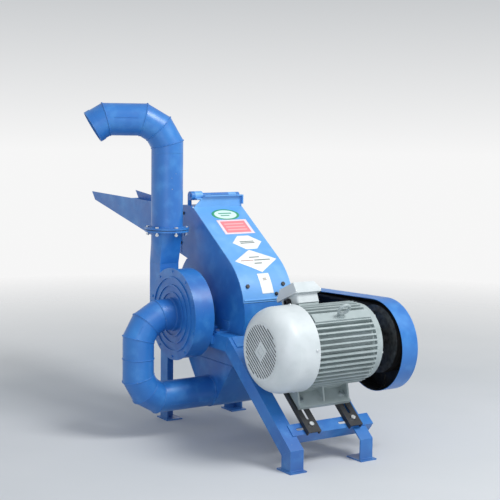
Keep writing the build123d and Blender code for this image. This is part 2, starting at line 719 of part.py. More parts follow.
with BuildPart() as rotor_bearings:
    for x in (-BEARING_X, BEARING_X):
        disc(mill_side(x - BEARING_W / 2), BEARING_R, BEARING_W, inner=SEAT_R + 0.05)
rotor_bearings.part.label = "rotor_bearings"
export_step(rotor_bearings.part, "parts/rotor_bearings.step")

with BuildPart() as bearing_housings:
    for x in (-BEARING_X, BEARING_X):
        with BuildSketch(across(x - 24, ROTOR_Y, 0)) as housing:
            with BuildLine():
                base_z = FRAME_TOP
                Line((-108, base_z), (108, base_z))
                Line((108, base_z), (108, base_z + 18))
                Line((108, base_z + 18), (64, base_z + 22))
                Line((64, base_z + 22), (62, ROTOR_Z))
                ThreePointArc((62, ROTOR_Z), (0, ROTOR_Z + 62), (-62, ROTOR_Z))
                Line((-62, ROTOR_Z), (-64, base_z + 22))
                Line((-64, base_z + 22), (-108, base_z + 18))
                Line((-108, base_z + 18), (-108, base_z))
            make_face()
        extrude(housing.sketch, amount=48)
        disc(mill_side(x - BEARING_W / 2), BEARING_R, BEARING_W, mode=Mode.SUBTRACT)
        disc(mill_side(x - 24), SEAT_R + 1.5, 48, mode=Mode.SUBTRACT)
        for y in HOUSING_BOLT_YS:
            disc(Plane((x, y, FRAME_TOP)), 7, 30, mode=Mode.SUBTRACT)
bearing_housings.part.label = "bearing_housings"
export_step(bearing_housings.part, "parts/bearing_housings.step")


# Fan

DUCT_Y = (340.0, 433.0)
DUCT_CENTRE_Y = (DUCT_Y[0] + DUCT_Y[1]) / 2
FAN_T = 3.0

with BuildPart() as fan_housing:
    fan_depth = FAN_BACK_X - FAN_FACE_X - FAN_T
    disc(mill_side(FAN_FACE_X + FAN_T), FAN_R, fan_depth)
    duct_x = FAN_FACE_X + FAN_T + fan_depth / 2
    duct_size = (fan_depth, DUCT_Y[1] - DUCT_Y[0])
    block(Plane((duct_x, DUCT_CENTRE_Y, ROTOR_Z)), duct_size[0], duct_size[1], 205)
    disc(mill_side(FAN_FACE_X), FAN_R - FAN_T, fan_depth, mode=Mode.SUBTRACT)
    bore = Plane((duct_x, DUCT_CENTRE_Y, ROTOR_Z + 60))
    block(bore, duct_size[0] - 2 * FAN_T, duct_size[1] - 2 * FAN_T, 145, mode=Mode.SUBTRACT)
    disc(mill_side(FAN_BACK_X - 2 * FAN_T), 27, 3 * FAN_T, mode=Mode.SUBTRACT)
fan_housing.part.label = "fan_housing"
export_step(fan_housing.part, "parts/fan_housing.step")

with BuildPart() as fan_cover:
    disc(mill_side(FAN_FACE_X), FAN_R + 6, FAN_T)
    # raised rings pressed into the plate, and the collar of the suction pipe
    for radius in (SUCTION_R + 24, SUCTION_R + 56, SUCTION_R + 90):
        disc(mill_side(FAN_FACE_X - 5), radius + 7, 5, inner=radius)
    disc(mill_side(FAN_FACE_X - 14), SUCTION_R + 5, 14)
    disc(mill_side(FAN_FACE_X - 14), SUCTION_R + 0.2, 14 + FAN_T, mode=Mode.SUBTRACT)
    for hole in range(10):
        hole_y, hole_z = polar(FAN_R - 8, 18 + 36 * hole)
        disc(across(FAN_FACE_X, ROTOR_Y + hole_y, ROTOR_Z + hole_z), 3.2, FAN_T, mode=Mode.SUBTRACT)
fan_cover.part.label = "fan_cover"
export_step(fan_cover.part, "parts/fan_cover.step")

with BuildPart() as fan_cover_bolts:
    for hole in range(10):
        hole_y, hole_z = polar(FAN_R - 8, 18 + 36 * hole)
        hex_bolt(across(FAN_FACE_X, ROTOR_Y + hole_y, ROTOR_Z + hole_z), 3, 14, nut=False)
fan_cover_bolts.part.label = "fan_cover_bolts"
export_step(fan_cover_bolts.part, "parts/fan_cover_bolts.step")

with BuildPart() as fan_impeller:
    disc(mill_side(-234), 168, 4)
    disc(mill_side(-290), 38, 60)
    for blade in range(8):
        blade_y, blade_z = polar(100, 45 * blade)
        seat = Plane(
            (-290, ROTOR_Y + blade_y, ROTOR_Z + blade_z),
            x_dir=(0, *polar(1, 45 * blade)),
            z_dir=(1, 0, 0),
        )
        block(seat, 130, 4, 58)
    disc(mill_side(-292), FAN_SEAT_R, 70, mode=Mode.SUBTRACT)
fan_impeller.part.label = "fan_impeller"
export_step(fan_impeller.part, "parts/fan_impeller.step")

with BuildPart() as outlet_duct:
    duct_low = ROTOR_Z + 205.5
    duct_high = FLANGE_Z - 8
    with BuildSketch(Plane((duct_x, DUCT_CENTRE_Y, duct_low))) as duct_base:
        Rectangle(*duct_size)
    with BuildSketch(Plane((RISER_X, RISER_Y, duct_high))) as duct_mouth:
        Circle(RISER_R)
    loft([duct_base.sketch.face(), duct_mouth.sketch.face()])
    disc(Plane((RISER_X, RISER_Y, duct_high)), FLANGE_R, 8)
    with BuildSketch(Plane((duct_x, DUCT_CENTRE_Y, duct_low))) as bore_base:
        Rectangle(duct_size[0] - 2 * FAN_T, duct_size[1] - 2 * FAN_T)
    with BuildSketch(Plane((RISER_X, RISER_Y, duct_high))) as bore_mouth:
        Circle(RISER_R - PIPE_T)
    loft([bore_base.sketch.face(), bore_mouth.sketch.face()], mode=Mode.SUBTRACT)
    disc(Plane((RISER_X, RISER_Y, duct_high)), RISER_R - PIPE_T, 8, mode=Mode.SUBTRACT)
    for hole in range(6):
        hole_x, hole_y = polar(84, 60 * hole + 30)
        disc(Plane((RISER_X + hole_x, RISER_Y + hole_y, duct_high)), 5, 8, mode=Mode.SUBTRACT)
outlet_duct.part.label = "outlet_duct"
export_step(outlet_duct.part, "parts/outlet_duct.step")

with BuildPart() as flange_gasket:
    disc(Plane((RISER_X, RISER_Y, FLANGE_Z)), FLANGE_R - 2, 3, inner=RISER_R - PIPE_T)
    for hole in range(6):
        hole_x, hole_y = polar(84, 60 * hole + 30)
        disc(Plane((RISER_X + hole_x, RISER_Y + hole_y, FLANGE_Z)), 5, 3, mode=Mode.SUBTRACT)
flange_gasket.part.label = "flange_gasket"
export_step(flange_gasket.part, "parts/flange_gasket.step")

with BuildPart() as flange_bolts:
    for hole in range(6):
        hole_x, hole_y = polar(84, 60 * hole + 30)
        head = (RISER_X + hole_x, RISER_Y + hole_y, FLANGE_Z + 11)
        hex_bolt(Plane(head, x_dir=(1, 0, 0), z_dir=(0, 0, -1)), 4.5, 36)
flange_bolts.part.label = "flange_bolts"
export_step(flange_bolts.part, "parts/flange_bolts.step")


# Pipes: straight tubes cut and welded at mitres


def mitred_bend(centre, angles, radius, side_dir, up_dir):
    """The three corners of a quarter bend made of two gores, thirty degrees a mitre."""
    reach = radius / cos(radians(15))
    points = []
    for angle in angles:
        along, up = polar(reach, angle)
        points.append(tuple(c + along * s + up * u for c, s, u in zip(centre, side_dir, up_dir)))
    return points


def mitred_pipe(route, radius, wall):
    """A pipe of straight tubes along the route, mitred at each corner."""
    for pipe_radius, mode in ((radius, Mode.ADD), (radius - wall, Mode.SUBTRACT)):
        first = Vector(*route[0])
        direction = Vector(*route[1]) - first
        with BuildLine() as path:
            Polyline(*route)
        with BuildSketch(Plane(first, z_dir=direction)) as ring:
            Circle(pipe_radius)
        sweep(ring.sketch, path=path.line, transition=Transition.RIGHT, mode=mode)


with BuildPart() as suction_upper_bend:
    bend_centre = (SUCTION_X + SUCTION_BEND, ROTOR_Y, ROTOR_Z - SUCTION_BEND)
    corners = mitred_bend(bend_centre, (105, 135, 165), SUCTION_BEND, (1, 0, 0), (0, 0, 1))
    joint_z = (ROTOR_Z + TROUGH_Z) / 2
    route = [(FAN_FACE_X + 1, ROTOR_Y, ROTOR_Z), *corners, (SUCTION_X, ROTOR_Y, joint_z)]
    mitred_pipe(route, SUCTION_R, PIPE_T)
suction_upper_bend.part.label = "suction_upper_bend"
export_step(suction_upper_bend.part, "parts/suction_upper_bend.step")

with BuildPart() as suction_lower_bend:
    bend_centre = (SUCTION_X + SUCTION_BEND, ROTOR_Y, TROUGH_Z + SUCTION_BEND)
    corners = mitred_bend(bend_centre, (195, 225, 255), SUCTION_BEND, (1, 0, 0), (0, 0, 1))
    route = [(SUCTION_X, ROTOR_Y, joint_z - 0.5), *corners, (-CASE_X - 0.5, ROTOR_Y, TROUGH_Z)]
    mitred_pipe(route, SUCTION_R, PIPE_T)
suction_lower_bend.part.label = "suction_lower_bend"
export_step(suction_lower_bend.part, "parts/suction_lower_bend.step")

RUN_DIR = (-cos(radians(RUN_TURN)), sin(radians(RUN_TURN)), 0.0)
RISER_TOP = RUN_Z - RISER_BEND

with BuildPart() as discharge_riser:
    foot = Plane((RISER_X, RISER_Y, FLANGE_Z + 3))
    disc(foot, RISER_R, RISER_TOP - FLANGE_Z - 3)
    disc(foot, FLANGE_R, 8)
    disc(foot, RISER_R - PIPE_T, RISER_TOP - FLANGE_Z - 3, mode=Mode.SUBTRACT)
    for hole in range(6):
        hole_x, hole_y = polar(84, 60 * hole + 30)
        disc(Plane((RISER_X + hole_x, RISER_Y + hole_y, FLANGE_Z + 3)), 5, 8, mode=Mode.SUBTRACT)
discharge_riser.part.label = "discharge_riser"
export_step(discharge_riser.part, "parts/discharge_riser.step")

NOZZLE_DROP = 31.0
NOZZLE_LONG = 68.0
RUN_LONG = 268.0
COLLAR_LONG = 24.0  # the collar at the mouth, where a bag or duct is clamped


def along_run(distance, height):
    return RISER_X + distance * RUN_DIR[0], RISER_Y + distance * RUN_DIR[1], height


with BuildPart() as discharge_elbow:
    bend_centre = along_run(RISER_BEND, RISER_TOP)
    corners = mitred_bend(bend_centre, (165, 135, 105), RISER_BEND, RUN_DIR, (0, 0, 1))
    nozzle_run = RUN_LONG + NOZZLE_LONG * cos(radians(NOZZLE_DROP))
    mouth = along_run(nozzle_run, RUN_Z - NOZZLE_LONG * sin(radians(NOZZLE_DROP)))
    nozzle_start = along_run(RUN_LONG, RUN_Z)
    mitred_pipe([along_run(0, RISER_TOP + 0.5), *corners, nozzle_start, mouth], RISER_R, PIPE_T)
    mouth_plane = Plane(Vector(*mouth), z_dir=Vector(*mouth) - Vector(*nozzle_start))
    disc(mouth_plane, RISER_R + PIPE_T, -COLLAR_LONG, inner=RISER_R - PIPE_T)
discharge_elbow.part.label = "discharge_elbow"
export_step(discharge_elbow.part, "parts/discharge_elbow.step")


# Motor rails

with BuildPart() as motor_rails:
    rail_top_down = 8.0
    rail_length = 542 - rail_top_down
    for x in MOTOR_RAIL_XS:
        middle = rail_top_down + rail_length / 2
        block(incline(x, middle, BEAM_T), 63, rail_length, FEET_UP - BEAM_T)
        block(incline(x, middle, BEAM_T), 51, rail_length + 2, FEET_UP - BEAM_T - 6, mode=Mode.SUBTRACT)
        for down in (131, 405):
            with BuildSketch(incline(x, down, BEAM_T)) as slot:
                SlotOverall(150, 14, rotation=90)
            extrude(slot.sketch, amount=FEET_UP, mode=Mode.SUBTRACT)
        for down in RAIL_BOLT_DOWNS:
            disc(incline(x, down, BEAM_T), RAIL_BOLT_R + 0.5, FEET_UP, mode=Mode.SUBTRACT)
motor_rails.part.label = "motor_rails"
export_step(motor_rails.part, "parts/motor_rails.step")


# Motor: everything turned about its shaft, tilted with the slope


def motor_turned(outline, mode=Mode.ADD):
    turned(MOTOR_Y, MOTOR_Z, outline, mode=mode)


def motor_point(x, uphill, up):
    """A point given in the motor's own directions from its shaft axis."""
    return x, MOTOR_Y + uphill * COS - up * SIN, MOTOR_Z + uphill * SIN + up * COS


def motor_radial(angle):
    """The direction that leaves the motor's axis at this angle from uphill."""
    return Vector(0, COS, SIN) * cos(radians(angle)) + Vector(0, -SIN, COS) * sin(radians(angle))


def motor_up(x, uphill, up):
    """A plane whose normal stands off the slope."""
    return Plane(origin=motor_point(x, uphill, up), x_dir=(1, 0, 0), z_dir=(0, -SIN, COS))


FRAME_BORE_R = 128.0
BARREL_R = 143.0
FIN_R = 169.0
FIN_COUNT = 46
FOOT_XS = (-86.0, 172.0)
FOOT_THICK = 16.0
FIN_T = 7.0
EYEBOLT_X = 50.0
BOX_X = -18.0  # centre of the terminal box along the motor
BOX_ANGLE = 28.0  # its direction from the shaft, from uphill towards off the slope
BOX_UP = 169.2  # its underside from the shaft axis


def box_side(up):
    """A plane square to the terminal box's direction, this far from the motor's axis."""
    origin = motor_point(BOX_X, *polar(up, BOX_ANGLE))
    return Plane(origin=origin, x_dir=(1, 0, 0), z_dir=motor_radial(BOX_ANGLE))


with BuildPart() as motor_frame:
    barrel_length = BARREL_X[1] - BARREL_X[0]
    disc(motor_side(BARREL_X[0]), BARREL_R, barrel_length)
    for fin in range(FIN_COUNT):
        angle = 360 / FIN_COUNT * (fin + 0.5)
        if not 246 < angle < 294:
            fin_uphill, fin_up = polar((BARREL_R + FIN_R) / 2 - 2, angle)
            seat = Plane(
                origin=motor_point(BARREL_X[0] + 6, fin_uphill, fin_up),
                x_dir=motor_radial(angle),
                z_dir=(1, 0, 0),
            )
            block(seat, FIN_R - BARREL_R + 4, FIN_T, barrel_length - 12)
    foot_x = (FOOT_XS[0] + FOOT_XS[1]) / 2
    foot_length = FOOT_XS[1] - FOOT_XS[0]
    for side in (-1, 1):
        block(motor_up(foot_x, side * 140, -SHAFT_HEIGHT), foot_length, 74, FOOT_THICK)
        # the foot's upright, which joins the barrel, and its end ribs
        block(motor_up(foot_x, side * 92, -SHAFT_HEIGHT), foot_length, 22, 80)
        for x in (FOOT_XS[0], foot_x - 4, FOOT_XS[1] - 8):
            with BuildSketch(motor_side(x)) as rib:
                Polygon((side * 100, -166), (side * 166, -166), (side * 100, -112), align=None)
            extrude(rib.sketch, amount=8)
    # flat ledge for the eyebolt along the top
    block(motor_up(55, 0, BARREL_R - 8), barrel_length - 20, 42, 40)
    # and the plinth under the terminal box
    block(box_side(FRAME_BORE_R + 2), 100, 110, BOX_UP - 0.3 - FRAME_BORE_R - 2)
    disc(motor_side(BARREL_X[0]), FRAME_BORE_R, barrel_length, mode=Mode.SUBTRACT)
    for x in MOTOR_RAIL_XS:
        for side in (-1, 1):
            seat = motor_up(x, side * FOOT_SPAN / 2, -SHAFT_HEIGHT)
            disc(seat, 7.5, FOOT_THICK, mode=Mode.SUBTRACT)
    disc(motor_up(EYEBOLT_X, 0, BARREL_R + 2), 8, 32, mode=Mode.SUBTRACT)
motor_frame.part.label = "motor_frame"
export_step(motor_frame.part, "parts/motor_frame.step")

MOTOR_BEARING_R = 42.0
SHIELD_R = 158.0
SHIELD_BOLT_R = 149.0
SHIELD_FLANGE = 28.0
MOTOR_SEAT_R = 27.5
MOTOR_STUB_R = 24.0

with BuildPart() as motor_end_shields:
    drive_x = BARREL_X[1]
    motor_turned([
        (drive_x, MOTOR_BEARING_R),
        (drive_x, SHIELD_R),
        (drive_x + SHIELD_FLANGE, SHIELD_R),
        (drive_x + SHIELD_FLANGE, 140),
        (drive_x + SHIELD_FLANGE + 5, 130),
        (drive_x + 50, 78),
        (drive_x + 62, 62),
        (drive_x + 62, 29),
        (drive_x + 54, 29),
        (drive_x + 54, MOTOR_BEARING_R),
    ])
    fan_end_x = BARREL_X[0]
    motor_turned([
        (fan_end_x, MOTOR_BEARING_R),
        (fan_end_x, SHIELD_R),
        (fan_end_x - 14, SHIELD_R),
        (fan_end_x - 22, 120),
        (fan_end_x - 36, 60),
        (fan_end_x - 40, 60),
        (fan_end_x - 40, 29),
        (fan_end_x - 34, 29),
        (fan_end_x - 34, MOTOR_BEARING_R),
    ])
    for bolt in range(6):
        hole = motor_point(BARREL_X[1], *polar(SHIELD_BOLT_R, 60 * bolt + 30))
        disc(across(*hole), 4.2, SHIELD_FLANGE, mode=Mode.SUBTRACT)
motor_end_shields.part.label = "motor_end_shields"
export_step(motor_end_shields.part, "parts/motor_end_shields.step")

with BuildPart() as motor_bearings:
    for x in (BARREL_X[0] - 31, BARREL_X[1] + 27):
        disc(motor_side(x), MOTOR_BEARING_R, 24, inner=MOTOR_SEAT_R + 0.05)
motor_bearings.part.label = "motor_bearings"
export_step(motor_bearings.part, "parts/motor_bearings.step")

with BuildPart() as motor_shaft:
    motor_turned([
        (-208, 0), (-208, 18), (-150, 18), (-150, MOTOR_SEAT_R), (275, MOTOR_SEAT_R),
        (275, MOTOR_STUB_R), (MOTOR_SHAFT_END, MOTOR_STUB_R), (MOTOR_SHAFT_END, 0),
    ])
motor_shaft.part.label = "motor_shaft"
export_step(motor_shaft.part, "parts/motor_shaft.step")

with BuildPart() as motor_rotor_core:
    disc(motor_side(-40), 84, 190, inner=MOTOR_SEAT_R)
motor_rotor_core.part.label = "motor_rotor_core"
export_step(motor_rotor_core.part, "parts/motor_rotor_core.step")

with BuildPart() as motor_stator:
    disc(motor_side(-40), FRAME_BORE_R, 190, inner=84.8)
    for x in (-74, 150):
        disc(motor_side(x), 118, 34, inner=90)
motor_stator.part.label = "motor_stator"
export_step(motor_stator.part, "parts/motor_stator.step")

with BuildPart() as motor_fan:
    disc(motor_side(-202), 30, 44)
    disc(motor_side(-166), 130, 4)
    for blade in range(7):
        angle = 360 / 7 * blade
        middle = motor_point(-200, *polar(77, angle))
        seat = Plane(origin=middle, x_dir=motor_radial(angle), z_dir=(1, 0, 0))
        block(seat, 102, 4, 36)
    disc(motor_side(-204), 18, 48, mode=Mode.SUBTRACT)
motor_fan.part.label = "motor_fan"
export_step(motor_fan.part, "parts/motor_fan.step")

COWL_MOUTH_X = -93.0
GRILLE_X = -259.0
GRILLE_R = 121.0

with BuildPart() as motor_cowl:
    with BuildSketch(turning_plane(MOTOR_Y, MOTOR_Z)) as cowl_half:
        with BuildLine():
            Line((COWL_MOUTH_X, 0), (COWL_MOUTH_X, COWL_R))
            Line((COWL_MOUTH_X, COWL_R), (-185, COWL_R - 2))
            ThreePointArc((-185, COWL_R - 2), (-236, 153), (GRILLE_X, GRILLE_R))
            Line((GRILLE_X, GRILLE_R), (GRILLE_X, 0))
            Line((GRILLE_X, 0), (COWL_MOUTH_X, 0))
        make_face()
    revolve(cowl_half.sketch, axis=Axis((0, MOTOR_Y, MOTOR_Z), (1, 0, 0)))
    with BuildSketch(turning_plane(MOTOR_Y, MOTOR_Z)) as cowl_hollow:
        with BuildLine():
            Line((COWL_MOUTH_X, 0), (COWL_MOUTH_X, COWL_R - 3))
            Line((COWL_MOUTH_X, COWL_R - 3), (-184, COWL_R - 5))
            ThreePointArc((-184, COWL_R - 5), (-234, 151), (GRILLE_X + 3, GRILLE_R - 2))
            Line((GRILLE_X + 3, GRILLE_R - 2), (GRILLE_X + 3, 0))
            Line((GRILLE_X + 3, 0), (COWL_MOUTH_X, 0))
        make_face()
    revolve(cowl_hollow.sketch, axis=Axis((0, MOTOR_Y, MOTOR_Z), (1, 0, 0)), mode=Mode.SUBTRACT)
    # the grille: rows of slots either side of a solid square at the centre
    with BuildSketch(motor_side(GRILLE_X)) as grille_slots:
        for row in range(-8, 9):
            height = row * 13.0
            half = (108**2 - height**2) ** 0.5
            with Locations((0, height)):
                if abs(height) < 27:
                    with Locations((-(half + 26) / 2, 0), ((half + 26) / 2, 0)):
                        SlotOverall(half - 26, 7)
                else:
                    SlotOverall(2 * half, 7)
    extrude(grille_slots.sketch, amount=3, mode=Mode.SUBTRACT)
    with BuildSketch(motor_side(GRILLE_X)) as badge_ring:
        Rectangle(34, 34)
        Rectangle(24, 24, mode=Mode.SUBTRACT)
    extrude(badge_ring.sketch, amount=-3)
motor_cowl.part.label = "motor_cowl"
export_step(motor_cowl.part, "parts/motor_cowl.step")

BOX_SIZE = (108.0, 120.0)
BOX_WALL = 7.0
BOX_HIGH = 39.0
LID_RIM_HIGH = 8.0
GLAND_X = BOX_X - BOX_SIZE[0] / 2
GLAND_UP = 18.8  # the gland's centre above the box's underside

with BuildPart() as terminal_box:
    with BuildSketch(box_side(BOX_UP)) as box_base:
        RectangleRounded(*BOX_SIZE, 10)
    extrude(box_base.sketch, amount=BOX_HIGH)
    with BuildSketch(box_side(BOX_UP + 5)) as box_hollow:
        RectangleRounded(BOX_SIZE[0] - 2 * BOX_WALL, BOX_SIZE[1] - 2 * BOX_WALL, 6)
    extrude(box_hollow.sketch, amount=BOX_HIGH, mode=Mode.SUBTRACT)
    gland_point = motor_point(GLAND_X, *polar(BOX_UP + GLAND_UP, BOX_ANGLE))
    gland_plane = Plane(origin=gland_point, x_dir=motor_radial(BOX_ANGLE), z_dir=(-1, 0, 0))
    disc(gland_plane, 13, -BOX_WALL, mode=Mode.SUBTRACT)
terminal_box.part.label = "terminal_box"
export_step(terminal_box.part, "parts/terminal_box.step")

with BuildPart() as terminal_box_lid:
    rim_up = BOX_UP + BOX_HIGH
    with BuildSketch(box_side(rim_up)) as lid_rim:
        RectangleRounded(131, 154, 12)
    extrude(lid_rim.sketch, amount=LID_RIM_HIGH)
    with BuildSketch(box_side(rim_up + LID_RIM_HIGH)) as lid_low:
        Rectangle(127, 150)
    with BuildSketch(box_side(rim_up + LID_RIM_HIGH + 40.8)) as lid_high:
        Rectangle(103, 104)
    loft([lid_low.sketch.face(), lid_high.sketch.face()])
terminal_box_lid.part.label = "terminal_box_lid"
export_step(terminal_box_lid.part, "parts/terminal_box_lid.step")

GLAND_HEX_LONG = 10.0
GLAND_LONG = 20.0  # how far the gland stands out from the box

with BuildPart() as cable_gland:
    disc(gland_plane.offset(-BOX_WALL), 13, BOX_WALL)
    with BuildSketch(gland_plane) as gland_hex:
        RegularPolygon(17, 6)
    extrude(gland_hex.sketch, amount=GLAND_HEX_LONG)
    disc(gland_plane.offset(GLAND_HEX_LONG), 14, GLAND_LONG - GLAND_HEX_LONG)
    disc(gland_plane.offset(-BOX_WALL), 8, BOX_WALL + GLAND_LONG, mode=Mode.SUBTRACT)
cable_gland.part.label = "cable_gland"
export_step(cable_gland.part, "parts/cable_gland.step")

with BuildPart() as eyebolt:
    disc(motor_up(EYEBOLT_X, 0, BARREL_R + 8), 8, 26)
    disc(motor_up(EYEBOLT_X, 0, BARREL_R + 32), 15, 6)
    eye_point = motor_point(EYEBOLT_X, 0, BARREL_R + 68)
    add(Solid.make_torus(24, 6.5, Plane(origin=eye_point, x_dir=(1, 0, 0), z_dir=(0, COS, SIN))))
    disc(motor_up(EYEBOLT_X, 0, BARREL_R + 36), 8, 8)
eyebolt.part.label = "eyebolt"
export_step(eyebolt.part, "parts/eyebolt.step")

with BuildPart() as motor_bolts:
    for x in MOTOR_RAIL_XS:
        for side in (-1, 1):
            seat = motor_up(x, side * FOOT_SPAN / 2, -SHAFT_HEIGHT + FOOT_THICK + 0.1)
            hex_bolt(Plane(seat.origin, x_dir=(1, 0, 0), z_dir=(0, SIN, -COS)), 6.5, 37)
    for bolt in range(6):
        head = motor_point(BARREL_X[1] + SHIELD_FLANGE, *polar(SHIELD_BOLT_R, 60 * bolt + 30))
        seat = Plane(origin=head, x_dir=(0, COS, SIN), z_dir=(-1, 0, 0))
        hex_bolt(seat, 4, SHIELD_FLANGE, nut=False)
motor_bolts.part.label = "motor_bolts"
export_step(motor_bolts.part, "parts/motor_bolts.step")


# Belt drive

GROOVE_TOP = 17.0  # belt width at its back
GROOVE_LOW = 9.5
PULLEY_HALF = (BELT_XS[-1] - BELT_XS[0]) / 2 + 13


def grooved_pulley(y, z, radius, bore):
    """A pulley with one V groove for each belt."""
    left = BELT_XS[1] - PULLEY_HALF
    right = BELT_XS[1] + PULLEY_HALF
    outline = [(left, bore), (left, radius)]
    for x in BELT_XS:
        outline.append((x - GROOVE_TOP / 2 - 0.4, radius))
        outline.append((x - GROOVE_LOW / 2 - 0.4, radius - BELT_DEEP - 1.5))
        outline.append((x + GROOVE_LOW / 2 + 0.4, radius - BELT_DEEP - 1.5))
        outline.append((x + GROOVE_TOP / 2 + 0.4, radius))
    outline.append((right, radius))
    outline.append((right, bore))
    turned(y, z, outline)


with BuildPart() as mill_pulley:
    grooved_pulley(ROTOR_Y, ROTOR_Z, MILL_PULLEY_R, PULLEY_SEAT_R)
mill_pulley.part.label = "mill_pulley"
export_step(mill_pulley.part, "parts/mill_pulley.step")

with BuildPart() as motor_pulley:
    grooved_pulley(MOTOR_Y, MOTOR_Z, MOTOR_PULLEY_R, MOTOR_STUB_R)
    for face_x, depth in ((BELT_XS[1] - PULLEY_HALF, 22), (BELT_XS[1] + PULLEY_HALF - 22, 22)):
        disc(motor_side(face_x), MOTOR_PULLEY_R - 26, depth, inner=46, mode=Mode.SUBTRACT)
motor_pulley.part.label = "motor_pulley"
export_step(motor_pulley.part, "parts/motor_pulley.step")


def loop_angles(end, end_radius, mill_radius):
    """The direction from the loop's large end to the mill, and the lean of its straight sides."""
    run_y = ROTOR_Y - end[0]
    run_z = ROTOR_Z - end[1]
    lean = asin((end_radius - mill_radius) / hypot(run_y, run_z))
    return degrees(atan2(run_z, run_y)), degrees(lean)


def loop_outline(end, end_radius, mill_radius):
    """The outline of a belt or guard round both of its ends, as a closed wire of (y, z)."""
    run, lean = loop_angles(end, end_radius, mill_radius)
    high = run + 90 - lean
    low = run - 90 + lean

    def on_end(angle):
        y, z = polar(end_radius, angle)
        return end[0] + y, end[1] + z

    def on_mill(angle):
        y, z = polar(mill_radius, angle)
        return ROTOR_Y + y, ROTOR_Z + z

    with BuildLine() as outline:
        ThreePointArc(on_end(high), on_end(run + 180), on_end(low))
        Line(on_end(low), on_mill(low))
        ThreePointArc(on_mill(low), on_mill(run), on_mill(high))
        Line(on_mill(high), on_end(high))
    return outline.wire()


def loop_band(end, x_from, x_to, end_radius, mill_radius, thickness):
    """A band of the given width that follows the loop outline."""
    with BuildSketch(Plane.YZ.offset(x_from)) as ring:
        make_face(loop_outline(end, end_radius, mill_radius))
        inside = loop_outline(end, end_radius - thickness, mill_radius - thickness)
        make_face(inside, mode=Mode.SUBTRACT)
    extrude(ring.sketch, amount=x_to - x_from)


with BuildPart() as v_belts:
    belt_half = GROOVE_LOW / 2 + 1.2
    belt_end = (MOTOR_Y, MOTOR_Z)
    for x in BELT_XS:
        radii = (MOTOR_PULLEY_R - 0.4, MILL_PULLEY_R - 0.4)
        loop_band(belt_end, x - belt_half, x + belt_half, *radii, BELT_DEEP - 3)
v_belts.part.label = "v_belts"
export_step(v_belts.part, "parts/v_belts.step")

GUARD_T = 2.0

with BuildPart() as belt_guard:
    loop_band(GUARD_END, *GUARD_XS, GUARD_MOTOR_R, GUARD_MILL_R, GUARD_T)
    with BuildSketch(Plane.YZ.offset(GUARD_XS[1] - GUARD_T)) as outer_plate:
        make_face(loop_outline(GUARD_END, GUARD_MOTOR_R - 1, GUARD_MILL_R - 1))
    extrude(outer_plate.sketch, amount=GUARD_T)
belt_guard.part.label = "belt_guard"
export_step(belt_guard.part, "parts/belt_guard.step")

with BuildPart() as guard_brackets:
    # two arms from the right side frame to the underside of the guard
    run, lean = loop_angles(GUARD_END, GUARD_MOTOR_R, GUARD_MILL_R)
    side_angle = run + lean
    low_y, low_z = polar(GUARD_MILL_R + 3, side_angle - 90)
    for back in (20, 140):
        back_y, back_z = polar(back, side_angle)
        seat = Plane(
            origin=(FRAME_X, ROTOR_Y + low_y - back_y, ROTOR_Z + low_z - back_z),
            x_dir=(0, *polar(1, side_angle)),
            z_dir=(1, 0, 0),
        )
        block(seat, 40, 5, 150)
guard_brackets.part.label = "guard_brackets"
export_step(guard_brackets.part, "parts/guard_brackets.step")
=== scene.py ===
# %% [markdown]
# # A belt-driven hammer mill
#
# The real machine is welded sheet and angle steel, sprayed blue, with a grey cast-iron motor
# The imported model already holds every solid piece in its place, so this lesson gives each one its finish, and
# adds what a solid model leaves out: weld beads, pipe seams, stickers, screws and the lining of the belt guard,
# dark with belt dust and painted shade.

# %% Load the machine
import json
import math

import bpy
import numpy as np
from mathutils import Matrix, Vector


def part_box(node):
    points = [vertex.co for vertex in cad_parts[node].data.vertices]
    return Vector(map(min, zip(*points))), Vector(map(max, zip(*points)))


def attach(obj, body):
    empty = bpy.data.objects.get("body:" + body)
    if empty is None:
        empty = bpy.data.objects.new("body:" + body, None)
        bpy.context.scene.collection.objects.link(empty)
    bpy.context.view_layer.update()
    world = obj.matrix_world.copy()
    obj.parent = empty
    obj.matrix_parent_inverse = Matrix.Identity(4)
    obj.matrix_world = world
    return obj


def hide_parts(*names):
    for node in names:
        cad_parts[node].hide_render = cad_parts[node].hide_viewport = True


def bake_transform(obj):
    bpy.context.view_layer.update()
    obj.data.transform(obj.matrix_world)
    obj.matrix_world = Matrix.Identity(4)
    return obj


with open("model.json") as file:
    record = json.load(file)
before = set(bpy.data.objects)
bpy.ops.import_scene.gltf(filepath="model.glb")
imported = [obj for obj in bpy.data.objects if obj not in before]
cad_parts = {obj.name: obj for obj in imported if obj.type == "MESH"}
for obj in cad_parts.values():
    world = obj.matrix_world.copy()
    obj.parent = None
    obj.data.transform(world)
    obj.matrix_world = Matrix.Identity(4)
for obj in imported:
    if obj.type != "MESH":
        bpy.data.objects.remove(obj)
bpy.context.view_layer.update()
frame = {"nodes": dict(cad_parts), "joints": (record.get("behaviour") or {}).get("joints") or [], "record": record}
axis_of = {j["name"]: Vector(j["pos_m"]) for j in frame["joints"] if j["type"] == "hinge"}

# %% [markdown]
# ## The camera
#
# The camera stands in front and to the left, at chest height, with a long lens. A camera is a
# place and three directions: ahead, right and up. Built from its yaw, pitch and roll, it needs
# no target object and stays put when pieces are added.

# %% Camera
EYE = Vector((-2.8936, -4.3141, 1.3960))
YAW, PITCH, ROLL = (math.radians(a) for a in (33.2597, -6.3275, 0.7309))
LENS_MM = 87.7

